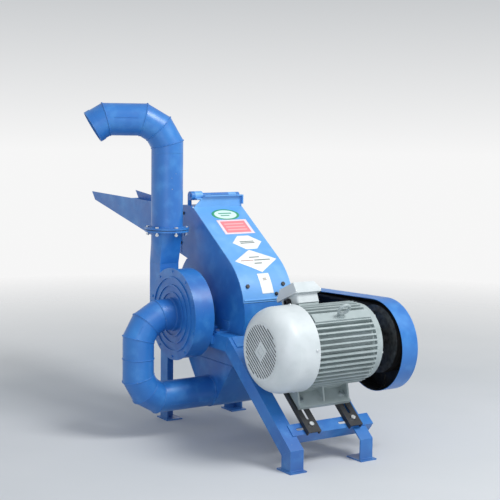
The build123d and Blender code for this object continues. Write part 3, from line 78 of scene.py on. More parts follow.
ahead = Vector((math.sin(YAW) * math.cos(PITCH), math.cos(YAW) * math.cos(PITCH), math.sin(PITCH)))
level = Vector((math.cos(YAW), -math.sin(YAW), 0))
above = level.cross(ahead)
right = level * math.cos(ROLL) + above * math.sin(ROLL)
up = above * math.cos(ROLL) - level * math.sin(ROLL)
camera = bpy.data.objects.new("camera", bpy.data.cameras.new("camera"))
camera.data.lens = LENS_MM
camera.data.sensor_width = 36
camera.matrix_world = Matrix.Translation(EYE) @ Matrix((right, up, -ahead)).transposed().to_4x4()
bpy.context.scene.collection.objects.link(camera)
bpy.context.scene.camera = camera
bpy.context.scene.view_settings.view_transform = "Standard"
print("camera", [round(v, 2) for v in camera.location], "lens", LENS_MM)

# %% [markdown]
# ## Colours and nodes
#
# Paint colours are written as the screen shows them, in hex. Blender mixes light, not screen
# values, so one function turns a hex colour into linear light. A second adds any shader node
# with its settings and links, and hands back one of its outputs, so that one node can be
# written inside the next. Three more recipes are shared by every finish: a soft mask, coats of
# colour laid over each other, and the wiring of colour, roughness and bumps.


# %% Helpers for materials
def linear(hex_colour):
    """An sRGB hex colour as linear red, green, blue and alpha."""
    screen = [int(hex_colour[i : i + 2], 16) / 255 for i in (1, 3, 5)]
    light = [c / 12.92 if c <= 0.04045 else ((c + 0.055) / 1.055) ** 2.4 for c in screen]
    return (*light, 1.0)


def add(tree, kind, inputs=None, out=0, **settings):
    """Adds a node, sets and links its sockets by name or number, and returns one of its outputs."""
    made = tree.nodes.new(kind)
    for name, value in settings.items():
        setattr(made, name, value)
    for key, value in (inputs or {}).items():
        if isinstance(value, bpy.types.NodeSocket):
            tree.links.new(value, made.inputs[key])
        else:
            made.inputs[key].default_value = value
    return made.outputs[out] if len(made.outputs) else None


def new_finish(name, **sockets):
    """A material with a Principled shader, its even values set on the shader's own sockets."""
    material = bpy.data.materials.new(name)
    material.use_nodes = True
    tree = material.node_tree
    tree.nodes.clear()
    surface = add(tree, "ShaderNodeBsdfPrincipled", {k.replace("_", " "): v for k, v in sockets.items()})
    add(tree, "ShaderNodeOutputMaterial", {"Surface": surface})
    return material, tree, surface.node, add(tree, "ShaderNodeTexCoord", out="Object")


def patches(tree, place, size_mm, low, high, detail=3.0):
    """A soft mask from 0 to 1 whose blotches are size_mm across: noise cut between low and high."""
    noise = add(tree, "ShaderNodeTexNoise", {"Vector": place, "Scale": 1000 / size_mm, "Detail": detail})
    return add(tree, "ShaderNodeMapRange", {"Value": noise, "From Min": low, "From Max": high})


def coat(tree, colour, layers):
    """Lays coats of colour over each other. A layer is (mask, share, hex): the share scales the mask."""
    for mask, share, ink in layers:
        cover = add(tree, "ShaderNodeMapRange", {"Value": mask, "To Max": share})
        mixed = {0: cover, 6: colour, 7: linear(ink)}
        colour = add(tree, "ShaderNodeMix", mixed, out=2, data_type="RGBA")
    return colour


def surface(tree, shader, colour, gloss, rough, bumps):
    """Wires a finish: its colour, its roughness from rough[0] to rough[1], and its bumps.

    A bump is (mask, depth in mm, strength), each laid on top of the one before.
    """
    tree.links.new(colour, shader.inputs["Base Color"])
    span = {"Value": gloss, "To Min": rough[0], "To Max": rough[1]}
    tree.links.new(add(tree, "ShaderNodeMapRange", span), shader.inputs["Roughness"])
    below = {}
    for mask, depth_mm, strength in bumps:
        height = {"Height": mask, "Distance": depth_mm / 1000, "Strength": strength}
        below = {"Normal": add(tree, "ShaderNodeBump", {**height, **below})}
    tree.links.new(below["Normal"], shader.inputs["Normal"])


# %% [markdown]
# ## Sprayed enamel on sheet steel
#
# Machine enamel is sprayed on in one coat, straight over rolled sheet. It pools and thins, so its blue wanders
# between a light and a deep shade over a hand's width, and the spray leaves an orange peel of about two
# millimetres. The sheet under it is never flat, which bends the reflections. Edges get a paler shade of the paint,
# partly rubbed paint and partly a painted highlight: a rounded copy of the surface normal differs from the true
# one only near an edge, and that difference is the edge mask. The lowest 20 cm turn a darker grey. The cover gets
# a lighter blue than the rest, a painted highlight for its upward face.


# %% Sprayed enamel
def edge_wear_and_highlight(tree, place, radius_mm, reach):
    """A mask of edges for rubbed paint and a painted highlight: how far the rounded normal turns from the true
    one, less a noise.
    """
    rounded = add(tree, "ShaderNodeBevel", {"Radius": radius_mm / 1000}, samples=4)
    true = add(tree, "ShaderNodeNewGeometry", out="Normal")
    agree = add(tree, "ShaderNodeVectorMath", {0: rounded, 1: true}, out="Value", operation="DOT_PRODUCT")
    edge = add(tree, "ShaderNodeMapRange", {"Value": agree, "From Min": 0.985, "From Max": 0.80})
    spots = patches(tree, place, 14, 0.5 - reach, 0.62)
    return add(tree, "ShaderNodeMath", {0: edge, 1: spots}, operation="MULTIPLY")


def enamel(name, deep, mid, pale, bare, rough):
    """Sprayed enamel: three shades in the coat, edges in a paler shade of rubbed paint and painted highlight,
    chips, and a darker grey towards the floor.
    """
    material, tree, shader, place = new_finish(name, Coat_Weight=0.3, Coat_Roughness=0.25)
    height = add(tree, "ShaderNodeSeparateXYZ", {0: place}, out=2)
    low = add(tree, "ShaderNodeMapRange", {"Value": height, "From Min": 0.20, "From Max": 0.0})
    colour = coat(
        tree,
        linear(deep),
        [
            (patches(tree, place, 240, 0.30, 0.70), 1.0, mid),
            (patches(tree, place, 60, 0.50, 0.95), 0.5, pale),
            # Edges in a paler shade of the paint: rubbed paint and a painted highlight along them.
            (edge_wear_and_highlight(tree, place, 1.6, 0.14), 0.7, pale),
            (patches(tree, place, 9, 0.735, 0.75, detail=5.0), 1.0, bare),
            # Darker and greyer towards the floor, in the lowest 20 cm.
            (low, 0.22, "#56606a"),
        ],
    )
    waves = (patches(tree, place, 130, 0.0, 1.0, detail=1.0), 1.2, 0.3)
    peel = (patches(tree, place, 2.4, 0.0, 1.0, detail=1.0), 0.06, 0.5)
    gloss = patches(tree, place, 55, 0.3, 0.7)
    surface(tree, shader, colour, gloss, (rough, rough + 0.14), [waves, peel])
    return material


blue_enamel = enamel("sprayed_blue_enamel", "#2063b2", "#2a7bc8", "#5ca8e4", "#8d99a4", 0.36)
# The cover's blue is painted lighter: a painted highlight for its upward face in the lamp's light.
lit_cover_enamel = enamel("blue_enamel_painted_lit", "#559ade", "#6aabe6", "#8cc2ef", "#8d99a4", 0.38)
black_enamel = enamel("brushed_black_rail_paint", "#141518", "#1e2024", "#33363a", "#6a6660", 0.46)
print("enamels", blue_enamel.name, lit_cover_enamel.name, black_enamel.name)


# %% [markdown]
# ## Grey paint on cast iron
#
# The motor's barrel, shields and feet are sand castings, and its cowl is pressed sheet. The same
# grey-green paint covers both. Sand leaves a grain of one to two millimetres in a casting, and
# dirt stays in it, while the pressed cowl is smooth.


# %% Motor paint
def motor_paint(name, dull, clean, grain_mm, depth_mm, dirt_share):
    """Grey-green enamel with the casting's grain and dirt in its low places."""
    material, tree, shader, place = new_finish(name, Coat_Weight=0.2, Coat_Roughness=0.3)
    colour = coat(
        tree,
        linear(dull),
        [
            (patches(tree, place, 120, 0.3, 0.7), 1.0, clean),
            # Edges in a lighter grey: rubbed paint and a painted highlight along them.
            (edge_wear_and_highlight(tree, place, 1.2, 0.1), 0.5, "#dfe5e5"),
            (patches(tree, place, 42, 0.52, 0.85), dirt_share, "#6d7b76"),
        ],
    )
    grain = (patches(tree, place, grain_mm, 0.0, 1.0, detail=2.0), depth_mm, 0.6)
    surface(tree, shader, colour, patches(tree, place, 30, 0.3, 0.7), (0.36, 0.55), [grain])
    return material


cast_grey = motor_paint("painted_cast_iron", "#98a6a6", "#abb7b8", 3.0, 0.35, 0.30)
pressed_grey = motor_paint("painted_pressed_steel", "#c4cdcf", "#d3dadc", 6.0, 0.08, 0.12)
print("motor paints", cast_grey.name, pressed_grey.name)

# %% [markdown]
# ## Bare metal, rubber and plastic
#
# Inside the mill the steel is bare: turned on the shafts, ground away on the hammers, and oily
# on the core sheets. Metals keep Blender's own index of refraction, and differ in how their
# roughness is streaked. A turned shaft has rings round its axis, which a wave pattern along X
# gives, because every shaft here lies along X.


# %% Metals
def bare_metal(name, dark, light, rough, blotch_mm, turned_mm=None, rust=0.0):
    """Bare steel or iron: blotchy tone and roughness, with turning rings where it was on a lathe."""
    material, tree, shader, place = new_finish(name, Metallic=1.0)
    blotch = patches(tree, place, blotch_mm, 0.3, 0.7)
    brown = patches(tree, place, blotch_mm * 1.7, 0.5, 0.72)
    colour = coat(tree, linear(dark), [(blotch, 1.0, light), (brown, rust, "#6b4a36")])
    grain = (patches(tree, place, 4, 0.0, 1.0), 0.2, 0.4)
    if turned_mm:
        wave = {"Vector": place, "Scale": 1000 / turned_mm / 6.3, "Distortion": 0.4}
        grain = (add(tree, "ShaderNodeTexWave", wave, out=1), 0.05, 0.5)
    surface(tree, shader, colour, blotch, (rough, rough + 0.16), [grain])
    return material


turned_steel = bare_metal("turned_bright_steel", "#a9abad", "#cfd1d2", 0.24, 40, turned_mm=1.5)
zinc_plate = bare_metal("bright_zinc_plated_steel", "#c2c9ce", "#eef1f2", 0.26, 7)
worn_steel = bare_metal("worn_rolled_steel", "#5c5955", "#8b8883", 0.38, 26, rust=0.4)
grey_iron = bare_metal("machined_grey_iron", "#4d4f52", "#77797b", 0.42, 18, rust=0.25)
core_sheets = bare_metal("stacked_core_sheets", "#4a4845", "#6d6a66", 0.45, 12, turned_mm=2.0)


# %% Rubber and plastic
def dull_black(name, base, worn, rough, grain_mm):
    """Rubber or moulded nylon: nearly black, with a dusty bloom and a fine grain."""
    material, tree, shader, place = new_finish(name)
    colour = coat(tree, linear(base), [(patches(tree, place, 35, 0.45, 0.8), 1.0, worn)])
    grain = (patches(tree, place, grain_mm, 0.0, 1.0), 0.15, 0.5)
    surface(tree, shader, colour, patches(tree, place, 20, 0.3, 0.7), (rough, rough + 0.15), [grain])
    return material


black_rubber = dull_black("moulded_rubber", "#121212", "#2b2a28", 0.62, 3)
black_nylon = dull_black("moulded_nylon", "#17181a", "#2c2d2f", 0.42, 5)
print("bare finishes", turned_steel.name, zinc_plate.name, black_rubber.name)

# %% [markdown]
# ## A finish for every solid piece
#
# The record says which slot each piece belongs to. One table turns slots into finishes, and the
# few pieces that differ from their slot are named after it: the bearing housings are iron, but
# were sprayed blue with the frame, and the motor's cowl and box are pressed, not cast.

# %% Hand out the finishes
finish_of_slot = {
    "machine_blue": blue_enamel,
    "rail_black": black_enamel,
    "bright_steel": turned_steel,
    "zinc_plate": zinc_plate,
    "worn_steel": worn_steel,
    "cast_iron": grey_iron,
    "motor_grey": cast_grey,
    "core_steel": core_sheets,
    "black_rubber": black_rubber,
    "black_plastic": black_nylon,
}
slot_of_node = {s["node"]: s["material_slot"] for s in frame["record"]["subparts"]}
finish_of_node = {
    "top_cover": lit_cover_enamel,
    "bearing_housings": blue_enamel,
    "cover_hinge_pin": blue_enamel,
    "cover_bolts": black_enamel,
    "fan_cover_bolts": blue_enamel,
    "motor_cowl": pressed_grey,
    "terminal_box": pressed_grey,
    "terminal_box_lid": pressed_grey,
    "eyebolt": cast_grey,
}
for node_name, node in frame["nodes"].items():
    finish = finish_of_node.get(node_name) or finish_of_slot[slot_of_node[node_name]]
    node.data.materials.clear()
    node.data.materials.append(finish)
print("finished", len(frame["nodes"]), "nodes")


# %% [markdown]
# ## Surfaces from numbers
#
# Everything added below is a grid of points worked out with numpy: rows along a path, columns
# round a profile. One function turns such a grid into a mesh. When a shell is closed its signed
# volume tells whether its faces look outwards, and a shell that came out inside out has every
# face turned round.


# %% Grid to mesh
def grid_faces(rows, columns, wrap_rows, wrap_columns):
    """The four corner numbers of every face of a grid, as one array."""
    i, j = np.meshgrid(
        np.arange(rows if wrap_rows else rows - 1),
        np.arange(columns if wrap_columns else columns - 1),
        indexing="ij",
    )
    i, j = i.ravel(), j.ravel()
    i2, j2 = (i + 1) % rows, (j + 1) % columns
    return np.stack([i * columns + j, i2 * columns + j, i2 * columns + j2, i * columns + j2], axis=1)


def new_piece(name, points, faces, caps, body, material, smooth=True):
    """Makes the mesh and hangs it on its body."""
    mesh = bpy.data.meshes.new(name)
    mesh.from_pydata(points.tolist(), [], faces.tolist() + [list(c) for c in caps])
    mesh.polygons.foreach_set("use_smooth", np.full(len(mesh.polygons), smooth))
    mesh.materials.append(material)
    mesh.update()
    piece = bpy.data.objects.new(name, mesh)
    bpy.context.scene.collection.objects.link(piece)
    if body:
        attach(piece, body)
    return piece


def shell(name, tubes, body, material, smooth=True):
    """One piece from closed tubes. Each tube is a grid of rings, either endless or capped at both ends."""
    all_points, all_faces, all_caps, start = [], [], [], 0
    for grid, endless in tubes:
        rows, columns = grid.shape[:2]
        points = grid.reshape(-1, 3)
        faces = grid_faces(rows, columns, endless, True)
        a, b, c, d = (points[faces[:, k]] - points.mean(axis=0) for k in range(4))
        volume = (np.cross(a, b) * c).sum() + (np.cross(a, c) * d).sum()
        first, last = np.arange(columns), np.arange(columns) + (rows - 1) * columns
        caps = [] if endless else [first, last[::-1]]
        if volume < 0:
            faces = faces[:, ::-1]
            caps = [cap[::-1] for cap in caps]
        all_points.append(points)
        all_faces.append(faces + start)
        all_caps += [(cap + start).tolist() for cap in caps]
        start += len(points)
    points, faces = np.concatenate(all_points), np.concatenate(all_faces)
    piece = new_piece(name, points, faces, all_caps, body, material, smooth)
    print(name, len(faces), "faces in", len(tubes), "shells")
    return piece


# %% [markdown]
# ## Weld beads
#
# Each pipe bend is cut from straight tube at a slant and welded round. A hand-laid bead is a
# half-round ridge with a ripple every few millimetres. Its path is the slanted ellipse where
# tube meets tube: points on the tube's circle, slid along the tube until they lie in the plane
# that halves the bend. The ripple is a sine in the bead's radius.


# %% Beads and rings
BEAD_R = 0.0028
RIPPLE = 0.006  # a real ripple is about 3 mm; twice that still shows at this distance


def unit(v):
    v = np.asarray(v, float)
    return v / np.linalg.norm(v, axis=-1, keepdims=True)


def bead(path, outward, radius=BEAD_R, endless=True, sides=6):
    """A ripple-edged bead along a path: circles whose radius follows a sine of the distance run."""
    ahead_of = np.roll(path, -1, axis=0) - np.roll(path, 1, axis=0)
    if not endless:
        ahead_of[0], ahead_of[-1] = path[1] - path[0], path[-1] - path[-2]
    tangent = unit(ahead_of)
    across = np.cross(tangent, outward)
    run = np.concatenate([[0], np.cumsum(np.linalg.norm(np.diff(path, axis=0), axis=1))])
    swell = radius * (1 + 0.16 * np.sin(2 * np.pi * run / RIPPLE))
    turn = np.linspace(0, 2 * np.pi, sides, endpoint=False)
    turn = turn[None, :, None]
    ring = np.cos(turn) * outward[:, None, :] + np.sin(turn) * across[:, None, :]
    return path[:, None, :] + swell[:, None, None] * ring, endless


def two_across(direction):
    """Two unit directions square to the given one."""
    helper = np.array((0.0, 0.0, 1.0)) if abs(direction[2]) < 0.9 else np.array((1.0, 0.0, 0.0))
    first = unit(np.cross(direction, helper))
    return first, np.cross(direction, first)


def mitre_bead(before, corner, after, radius):
    """The bead round a pipe's corner: its circle slid along the pipe into the halving plane."""
    before, corner, after = (np.asarray(p, float) for p in (before, corner, after))
    along, onward = unit(corner - before), unit(after - corner)
    plane = unit(along + onward)
    first, second = two_across(along)
    turn = np.linspace(0, 2 * np.pi, 288, endpoint=False)[:, None]
    outward = np.cos(turn) * first + np.sin(turn) * second
    slide = -radius * (outward @ plane) / (along @ plane)
    return bead(corner + radius * outward + slide[:, None] * along, outward)


def round_bead(centre, direction, radius, size=BEAD_R):
    """A bead round a straight pipe: a circle square to it."""
    first, second = two_across(unit(direction))
    turn = np.linspace(0, 2 * np.pi, 288, endpoint=False)[:, None]
    outward = np.cos(turn) * first + np.sin(turn) * second
    return bead(np.asarray(centre) + radius * outward, outward, size)


def straight_bead(start, stop, outward, size=BEAD_R):
    """A bead in a straight line, a point every 1.5 mm."""
    start, stop = np.asarray(start, float), np.asarray(stop, float)
    count = max(8, int(np.linalg.norm(stop - start) / 0.0015))
    path = start + np.linspace(0, 1, count)[:, None] * (stop - start)
    return bead(path, np.tile(unit(outward), (count, 1)), size, endless=False)


# %% [markdown]
# The bends are the same as in the solid model: two slanted pieces between straight runs, their
# corners thirty degrees apart on a circle a little larger than the bend's own.

# %% Pipe routes
rotor_y, rotor_z = axis_of["rotor_spin"].y, axis_of["rotor_spin"].z
SUCTION_R, SUCTION_X, SUCTION_BEND, TROUGH_Z = 0.067, -0.480, 0.130, 0.177
FAN_FACE_X, CASE_X = -0.315, 0.128
RISER_R, RISER_X, RISER_Y, RISER_BEND, RUN_Z = 0.070, -0.262, 0.370, 0.145, 1.370
FLANGE_Z = 0.888
RUN_ANGLE, NOZZLE_DROP = math.radians(21), math.radians(31)
RUN_LONG, NOZZLE_LONG = 0.268, 0.068


def bend_corners(centre, angles, radius, sideways):
    """Corner points of a mitred quarter bend in the upright plane that holds sideways."""
    reach = radius / math.cos(math.radians(15))
    turn = np.radians(angles)[:, None]
    arms = np.cos(turn) * np.asarray(sideways) + np.sin(turn) * np.array((0, 0, 1.0))
    return np.asarray(centre) + reach * arms


turn_x = SUCTION_X + SUCTION_BEND
upper_centre = (turn_x, rotor_y, rotor_z - SUCTION_BEND)
lower_centre = (turn_x, rotor_y, TROUGH_Z + SUCTION_BEND)
upper = bend_corners(upper_centre, (105, 135, 165), SUCTION_BEND, (1, 0, 0))
lower = bend_corners(lower_centre, (195, 225, 255), SUCTION_BEND, (1, 0, 0))
suction_route = np.array([(FAN_FACE_X, rotor_y, rotor_z), *upper, *lower, (-CASE_X, rotor_y, TROUGH_Z)])
run_dir = np.array((-math.cos(RUN_ANGLE), math.sin(RUN_ANGLE), 0.0))
riser_foot = np.array((RISER_X, RISER_Y, 0.0))
riser_top = RUN_Z - RISER_BEND
elbow_centre = riser_foot + RISER_BEND * run_dir + (0, 0, riser_top)
elbow = bend_corners(elbow_centre, (165, 135, 105), RISER_BEND, run_dir)
run_end = riser_foot + RUN_LONG * run_dir + (0, 0, RUN_Z)
nozzle_dir = run_dir * math.cos(NOZZLE_DROP) - np.array((0, 0, math.sin(NOZZLE_DROP)))
mouth = run_end + NOZZLE_LONG * nozzle_dir
discharge_route = np.array([riser_foot + (0, 0, FLANGE_Z + 0.011), *elbow, run_end, mouth])
print("suction corners", suction_route.round(3).tolist())

# %% Pipe welds
suction_beads = [
    mitre_bead(suction_route[k - 1], suction_route[k], suction_route[k + 1], SUCTION_R)
    for k in range(1, len(suction_route) - 1)
]
middle_z = (rotor_z + TROUGH_Z) / 2
suction_beads.append(round_bead((SUCTION_X, rotor_y, middle_z), (0, 0, 1), SUCTION_R))
suction_beads.append(round_bead((FAN_FACE_X - 0.014, rotor_y, rotor_z), (1, 0, 0), SUCTION_R + 0.0015))
suction_beads.append(round_bead((-CASE_X - 0.002, rotor_y, TROUGH_Z), (1, 0, 0), SUCTION_R + 0.001))
shell("suction_pipe_welds", suction_beads, "machine", blue_enamel)

discharge_beads = [
    mitre_bead(discharge_route[k - 1], discharge_route[k], discharge_route[k + 1], RISER_R)
    for k in range(1, len(discharge_route) - 1)
]
discharge_beads.append(round_bead((RISER_X, RISER_Y, FLANGE_Z + 0.0115), (0, 0, 1), RISER_R + 0.001))
discharge_beads.append(round_bead((RISER_X, RISER_Y, FLANGE_Z - 0.0085), (0, 0, 1), RISER_R + 0.001))
shell("discharge_pipe_welds", discharge_beads, "machine", blue_enamel)

# %% [markdown]
# Each tube was rolled from sheet and closed with a seam along its length. The seam runs straight
# down the side of the tube, from one slanted weld to the next.


# %% Pipe seams
def pipe_seam(start, stop, side, radius, inset):
    """A seam on a straight tube: a thin bead on the side that faces the given way."""
    start, stop = np.asarray(start, float), np.asarray(stop, float)
    along = unit(stop - start)
    side = np.asarray(side, float)
    side = unit(side - (side @ along) * along)
    return straight_bead(
        start + inset * along + radius * side, stop - inset * along + radius * side, side, size=0.0017
    )


seams = [
    pipe_seam(discharge_route[3], discharge_route[4], (0, -1, 0.12), RISER_R, 0.030),
    pipe_seam(suction_route[6], suction_route[7], (0, -1, -0.45), SUCTION_R, 0.030),
    pipe_seam(suction_route[2], suction_route[3], (-0.8, -1, 0), SUCTION_R, 0.014),
    pipe_seam(discharge_route[0], discharge_route[1], (0, 1, 0), RISER_R, 0.012),
    pipe_seam(suction_route[3], suction_route[4], (1, 1, 0), SUCTION_R, 0.020),
]
shell("pipe_seams", seams, "machine", blue_enamel)

# %% [markdown]
# ## Frame welds
#
# The posts stand on plates, and a bead runs round the outside of each foot. Where rail, brace
# and post meet, the joint is welded across the outer face.

# %% Frame welds
FRAME_X, FRAME_Y, FOOT_T, LEG = 0.205, 0.523, 0.006, 0.063
FRAME_WELD_R = 0.002
frame_beads = []
for side in (-1, 1):
    x_out, x_in = side * FRAME_X, side * (FRAME_X - LEG)
    for end in (-1, 1):
        y_out, y_in = end * FRAME_Y, end * (FRAME_Y - LEG)
        z = FOOT_T + 0.001
        frame_beads.append(straight_bead((x_out, y_out, z), (x_out, y_in, z), (side, 0, 1)))
        frame_beads.append(straight_bead((x_out, y_out, z), (x_in, y_out, z), (0, end, 1)))
slope = math.radians(39)
KNEE_Y, FRAME_TOP = -0.057, 0.467
for side in (-1, 1):
    x_out = side * FRAME_X
    knee_low = KNEE_Y + LEG * (1 / math.cos(slope) - 1) / math.tan(slope)
    top_z = FRAME_TOP - LEG
    knee_weld = ((x_out, KNEE_Y, FRAME_TOP - 0.002), (x_out, knee_low, top_z))
    post_weld = ((x_out, FRAME_Y - 0.002, top_z), (x_out, FRAME_Y - LEG, top_z))
    for start, stop in (knee_weld, post_weld):
        frame_beads.append(straight_bead(start, stop, (side, 0, 0), FRAME_WELD_R))
shell("frame_welds", frame_beads, "machine", blue_enamel)

# %% Casing welds
casing_beads = []
throat_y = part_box("throat_plates")[1].y
hopper_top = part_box("outlet_hopper")[1].z
tray_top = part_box("feed_tray")[1].z
CASE_R, THROAT_LOW_Z, CASING_WELD_R = 0.290, 0.768, 0.0022
half = math.sqrt(CASE_R**2 - (rotor_z - hopper_top) ** 2) - 0.004
for side in (-1, 1):
    x = side * CASE_X
    throat_weld = ((x, throat_y, THROAT_LOW_Z), (x, throat_y, tray_top - 0.03))
    hopper_weld = ((x, rotor_y - half, hopper_top), (x, rotor_y + half, hopper_top))
    for start, stop in (throat_weld, hopper_weld):
        casing_beads.append(straight_bead(start, stop, (side, 0, 0), CASING_WELD_R))
shell("casing_welds", casing_beads, "machine", blue_enamel)

# %% [markdown]
# ## The inside of the belt guard
#
# Belts shed black dust, and it sticks to the greasy inside of the guard until no blue is left; the lining's near
# black is that dust and painted shade for the dark inside of the guard as well.
# That coat is its own skin, half a millimetre inside the guard: a shallow cup, so four rings
# closed at both ends. Each ring is two arcs joined by straight runs: an arc round the guard's
# large end, an arc round the mill pulley, and the two lines that touch both.


# %% Guard lining
GUARD_X = (0.318, 0.400)
GUARD_END_R, GUARD_MILL_R = 0.195, 0.076
guard_end = np.array((-0.368, 0.440))
motor_axis = np.array((axis_of["motor_spin"].y, axis_of["motor_spin"].z))
mill_axis = np.array((rotor_y, rotor_z))


def loop_points(end, end_radius, mill_radius, arc_count=40, line_count=10):
    """Points round both ends: the far arc of each circle, joined by the lines that touch both."""
    run = mill_axis - end
    drive = math.atan2(run[1], run[0])
    lean = math.asin((end_radius - mill_radius) / np.linalg.norm(run))
    back = drive + np.linspace(math.pi / 2 - lean, 3 * math.pi / 2 + lean, arc_count)
    front = drive + np.linspace(-math.pi / 2 + lean, math.pi / 2 - lean, arc_count)
    end_arc = end + end_radius * np.stack([np.cos(back), np.sin(back)], axis=1)
    mill_arc = mill_axis + mill_radius * np.stack([np.cos(front), np.sin(front)], axis=1)
    share = np.linspace(0, 1, line_count + 2)[1:-1, None]
    low_line = end_arc[-1] + share * (mill_arc[0] - end_arc[-1])
    high_line = mill_arc[-1] + share * (end_arc[0] - mill_arc[-1])
    return np.concatenate([end_arc, low_line, mill_arc, high_line])


WALL, GAP, SKIN = 0.002, 0.0005, 0.0006
plate_x = GUARD_X[1] - WALL - GAP
rings = []
for x, inner in (
    (plate_x, WALL + GAP),
    (GUARD_X[0] + 0.001, WALL + GAP),
    (GUARD_X[0] + 0.001, WALL + GAP + SKIN),
    (plate_x - SKIN, WALL + GAP + SKIN),
):
    yz = loop_points(guard_end, GUARD_END_R - inner, GUARD_MILL_R - inner)
    rings.append(np.concatenate([np.full((len(yz), 1), x), yz], axis=1))
# Near black: belt dust, and painted shade for the dark inside of the guard.
dust_and_painted_shade, tree, shader, place = new_finish("belt_dust_and_painted_shade", Coat_Weight=0.1)
soot_and_shade_layers = [
    (patches(tree, place, 30, 0.4, 0.75), 1.0, "#1f211f"),
    (patches(tree, place, 16, 0.6, 0.72), 0.6, "#6b5f43"),
]
soot_and_shade = coat(tree, linear("#0c0d10"), soot_and_shade_layers)
crust = (patches(tree, place, 7, 0.0, 1.0), 0.8, 0.6)
surface(tree, shader, soot_and_shade, patches(tree, place, 22, 0.3, 0.7), (0.35, 0.8), [crust])
shell("guard_lining", [(np.stack(rings), False)], "machine", dust_and_painted_shade, smooth=False)

# %% [markdown]
# ## The belts
#
# Three V-belts run side by side, proud of their pulleys' rims by a millimetre. Each is the same loop as the
# guard's, about the two shafts, swept by the belt's section: 17 mm wide at its back and 10 mm at its inner face.
# They hang on no body, and the solid model's belts are hidden.

# %% Belts
BELT_XS, BELT_BACK, BELT_INNER, BELT_DEEP = (0.333, 0.352, 0.371), 0.0170, 0.0100, 0.0105
MOTOR_PULLEY_R, MILL_PULLEY_R = 0.1435, 0.066
section = [(-BELT_BACK / 2, 0.001), (BELT_BACK / 2, 0.001), (BELT_INNER / 2, 0.001 - BELT_DEEP)]
section.append((-BELT_INNER / 2, 0.001 - BELT_DEEP))
belt_tubes = []
for belt_x in BELT_XS:
    sides = []
    for dx, proud in section:
        yz = loop_points(motor_axis, MOTOR_PULLEY_R + proud, MILL_PULLEY_R + proud, 72, 24)
        sides.append(np.concatenate([np.full((len(yz), 1), belt_x + dx), yz], axis=1))
    belt_tubes.append((np.stack(sides, axis=1), True))
belts = shell("drive_belts", belt_tubes, None, black_rubber, smooth=False)
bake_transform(belts)
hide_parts("v_belts")

# %% [markdown]
# ## Stickers on the cover
#
# Five printed vinyl stickers run down the middle of the cover. Vinyl follows the sheet, so each
# sticker is a patch of the cover's own surface, lifted a fraction of a millimetre. The cover is
# a function of two numbers: the distance up from its lower edge, and the place across. It runs
# round an arc first and then straight on. A sticker's print is drawn from its own UV map, as
# plain bars and borders that say nothing.

# %% The cover as a function
COVER_R, COVER_LOW_Z = CASE_R, 0.606
LOW_TURN = math.pi - math.asin((COVER_LOW_Z - rotor_z) / COVER_R)
TOP_TURN = math.radians(124)
ARC_LONG = COVER_R * (LOW_TURN - TOP_TURN)


def on_cover(up_along, across, lift):
    """Points on the cover: round the arc, then straight on along its tangent."""
    turn = LOW_TURN - np.minimum(up_along, ARC_LONG) / COVER_R
    beyond = np.maximum(up_along - ARC_LONG, 0)
    rise = TOP_TURN - math.pi / 2
    y = rotor_y + (COVER_R + lift) * np.cos(turn) + beyond * math.cos(rise)
    z = rotor_z + (COVER_R + lift) * np.sin(turn) + beyond * math.sin(rise)
    return np.stack([across, y, z], axis=-1)


# %% Sticker outlines
def outline_share(shape, angle):
    """How far the outline is from the middle, as a share of the half sizes, for each angle."""
    c, s = np.abs(np.cos(angle)), np.abs(np.sin(angle))
    if shape == "oval":
        return np.ones_like(angle)
    if shape == "diamond":
        return 1 / (c + s)
    if shape == "hexagon":
        return np.minimum(1 / (c + 0.62 * s), 1 / np.maximum(s, 1e-6))
    return 1 / np.maximum(c, s)


def sticker(name, shape, middle, half, material):
    """A vinyl patch: rings from its middle to its outline, laid on the cover, 0.25 mm thick."""
    angle = np.linspace(0, 2 * np.pi, 96, endpoint=False) + np.pi / 4
    share = outline_share(shape, angle)
    reach = np.linspace(0.04, 1, 16)[:, None]
    flat_across = reach * share * np.cos(angle)
    flat_up = reach * share * np.sin(angle)
    top = on_cover(middle[0] + half[0] * flat_up, middle[1] + half[1] * flat_across, 0.00055)
    low = on_cover(middle[0] + half[0] * flat_up[-1:], middle[1] + half[1] * flat_across[-1:], 0.00030)
    points = np.concatenate([top, low]).reshape(-1, 3)
    rows, columns = len(reach) + 1, len(angle)
    faces = grid_faces(rows, columns, False, True)
    first = np.arange(columns)
    last = first + (rows - 1) * columns
    outer = unit(points[columns] - points[0])
    normal = np.cross(points[1] - points[0], outer)
    towards = points[0] - np.array((points[0][0], rotor_y, rotor_z))
    if normal @ towards > 0:
        faces, caps = faces[:, ::-1], [first[::-1], last]
    else:
        caps = [first, last[::-1]]
    piece = new_piece(name, points, faces, caps, "cover", material)
    uv = np.stack([flat_across, flat_up], axis=-1).reshape(-1, 2) * 0.5 + 0.5
    uv = np.concatenate([uv, uv[-columns:]])
    layer = piece.data.uv_layers.new(name="print")
    corner = np.zeros(len(piece.data.loops), np.int32)
    piece.data.loops.foreach_get("vertex_index", corner)
    layer.data.foreach_set("uv", uv[corner].ravel())
    print(name, len(faces), "faces")
    return piece


# %% Sticker prints
def strip(tree, value, low, high, soft=0.01):
    """1 where the value lies between low and high, with a soft edge: the lesser of two ramps."""
    rise = add(tree, "ShaderNodeMapRange", {"Value": value, "From Min": low - soft, "From Max": low + soft})
    fall = add(tree, "ShaderNodeMapRange", {"Value": value, "From Min": high + soft, "From Max": high - soft})
    return add(tree, "ShaderNodeMath", {0: rise, 1: fall}, operation="MINIMUM")


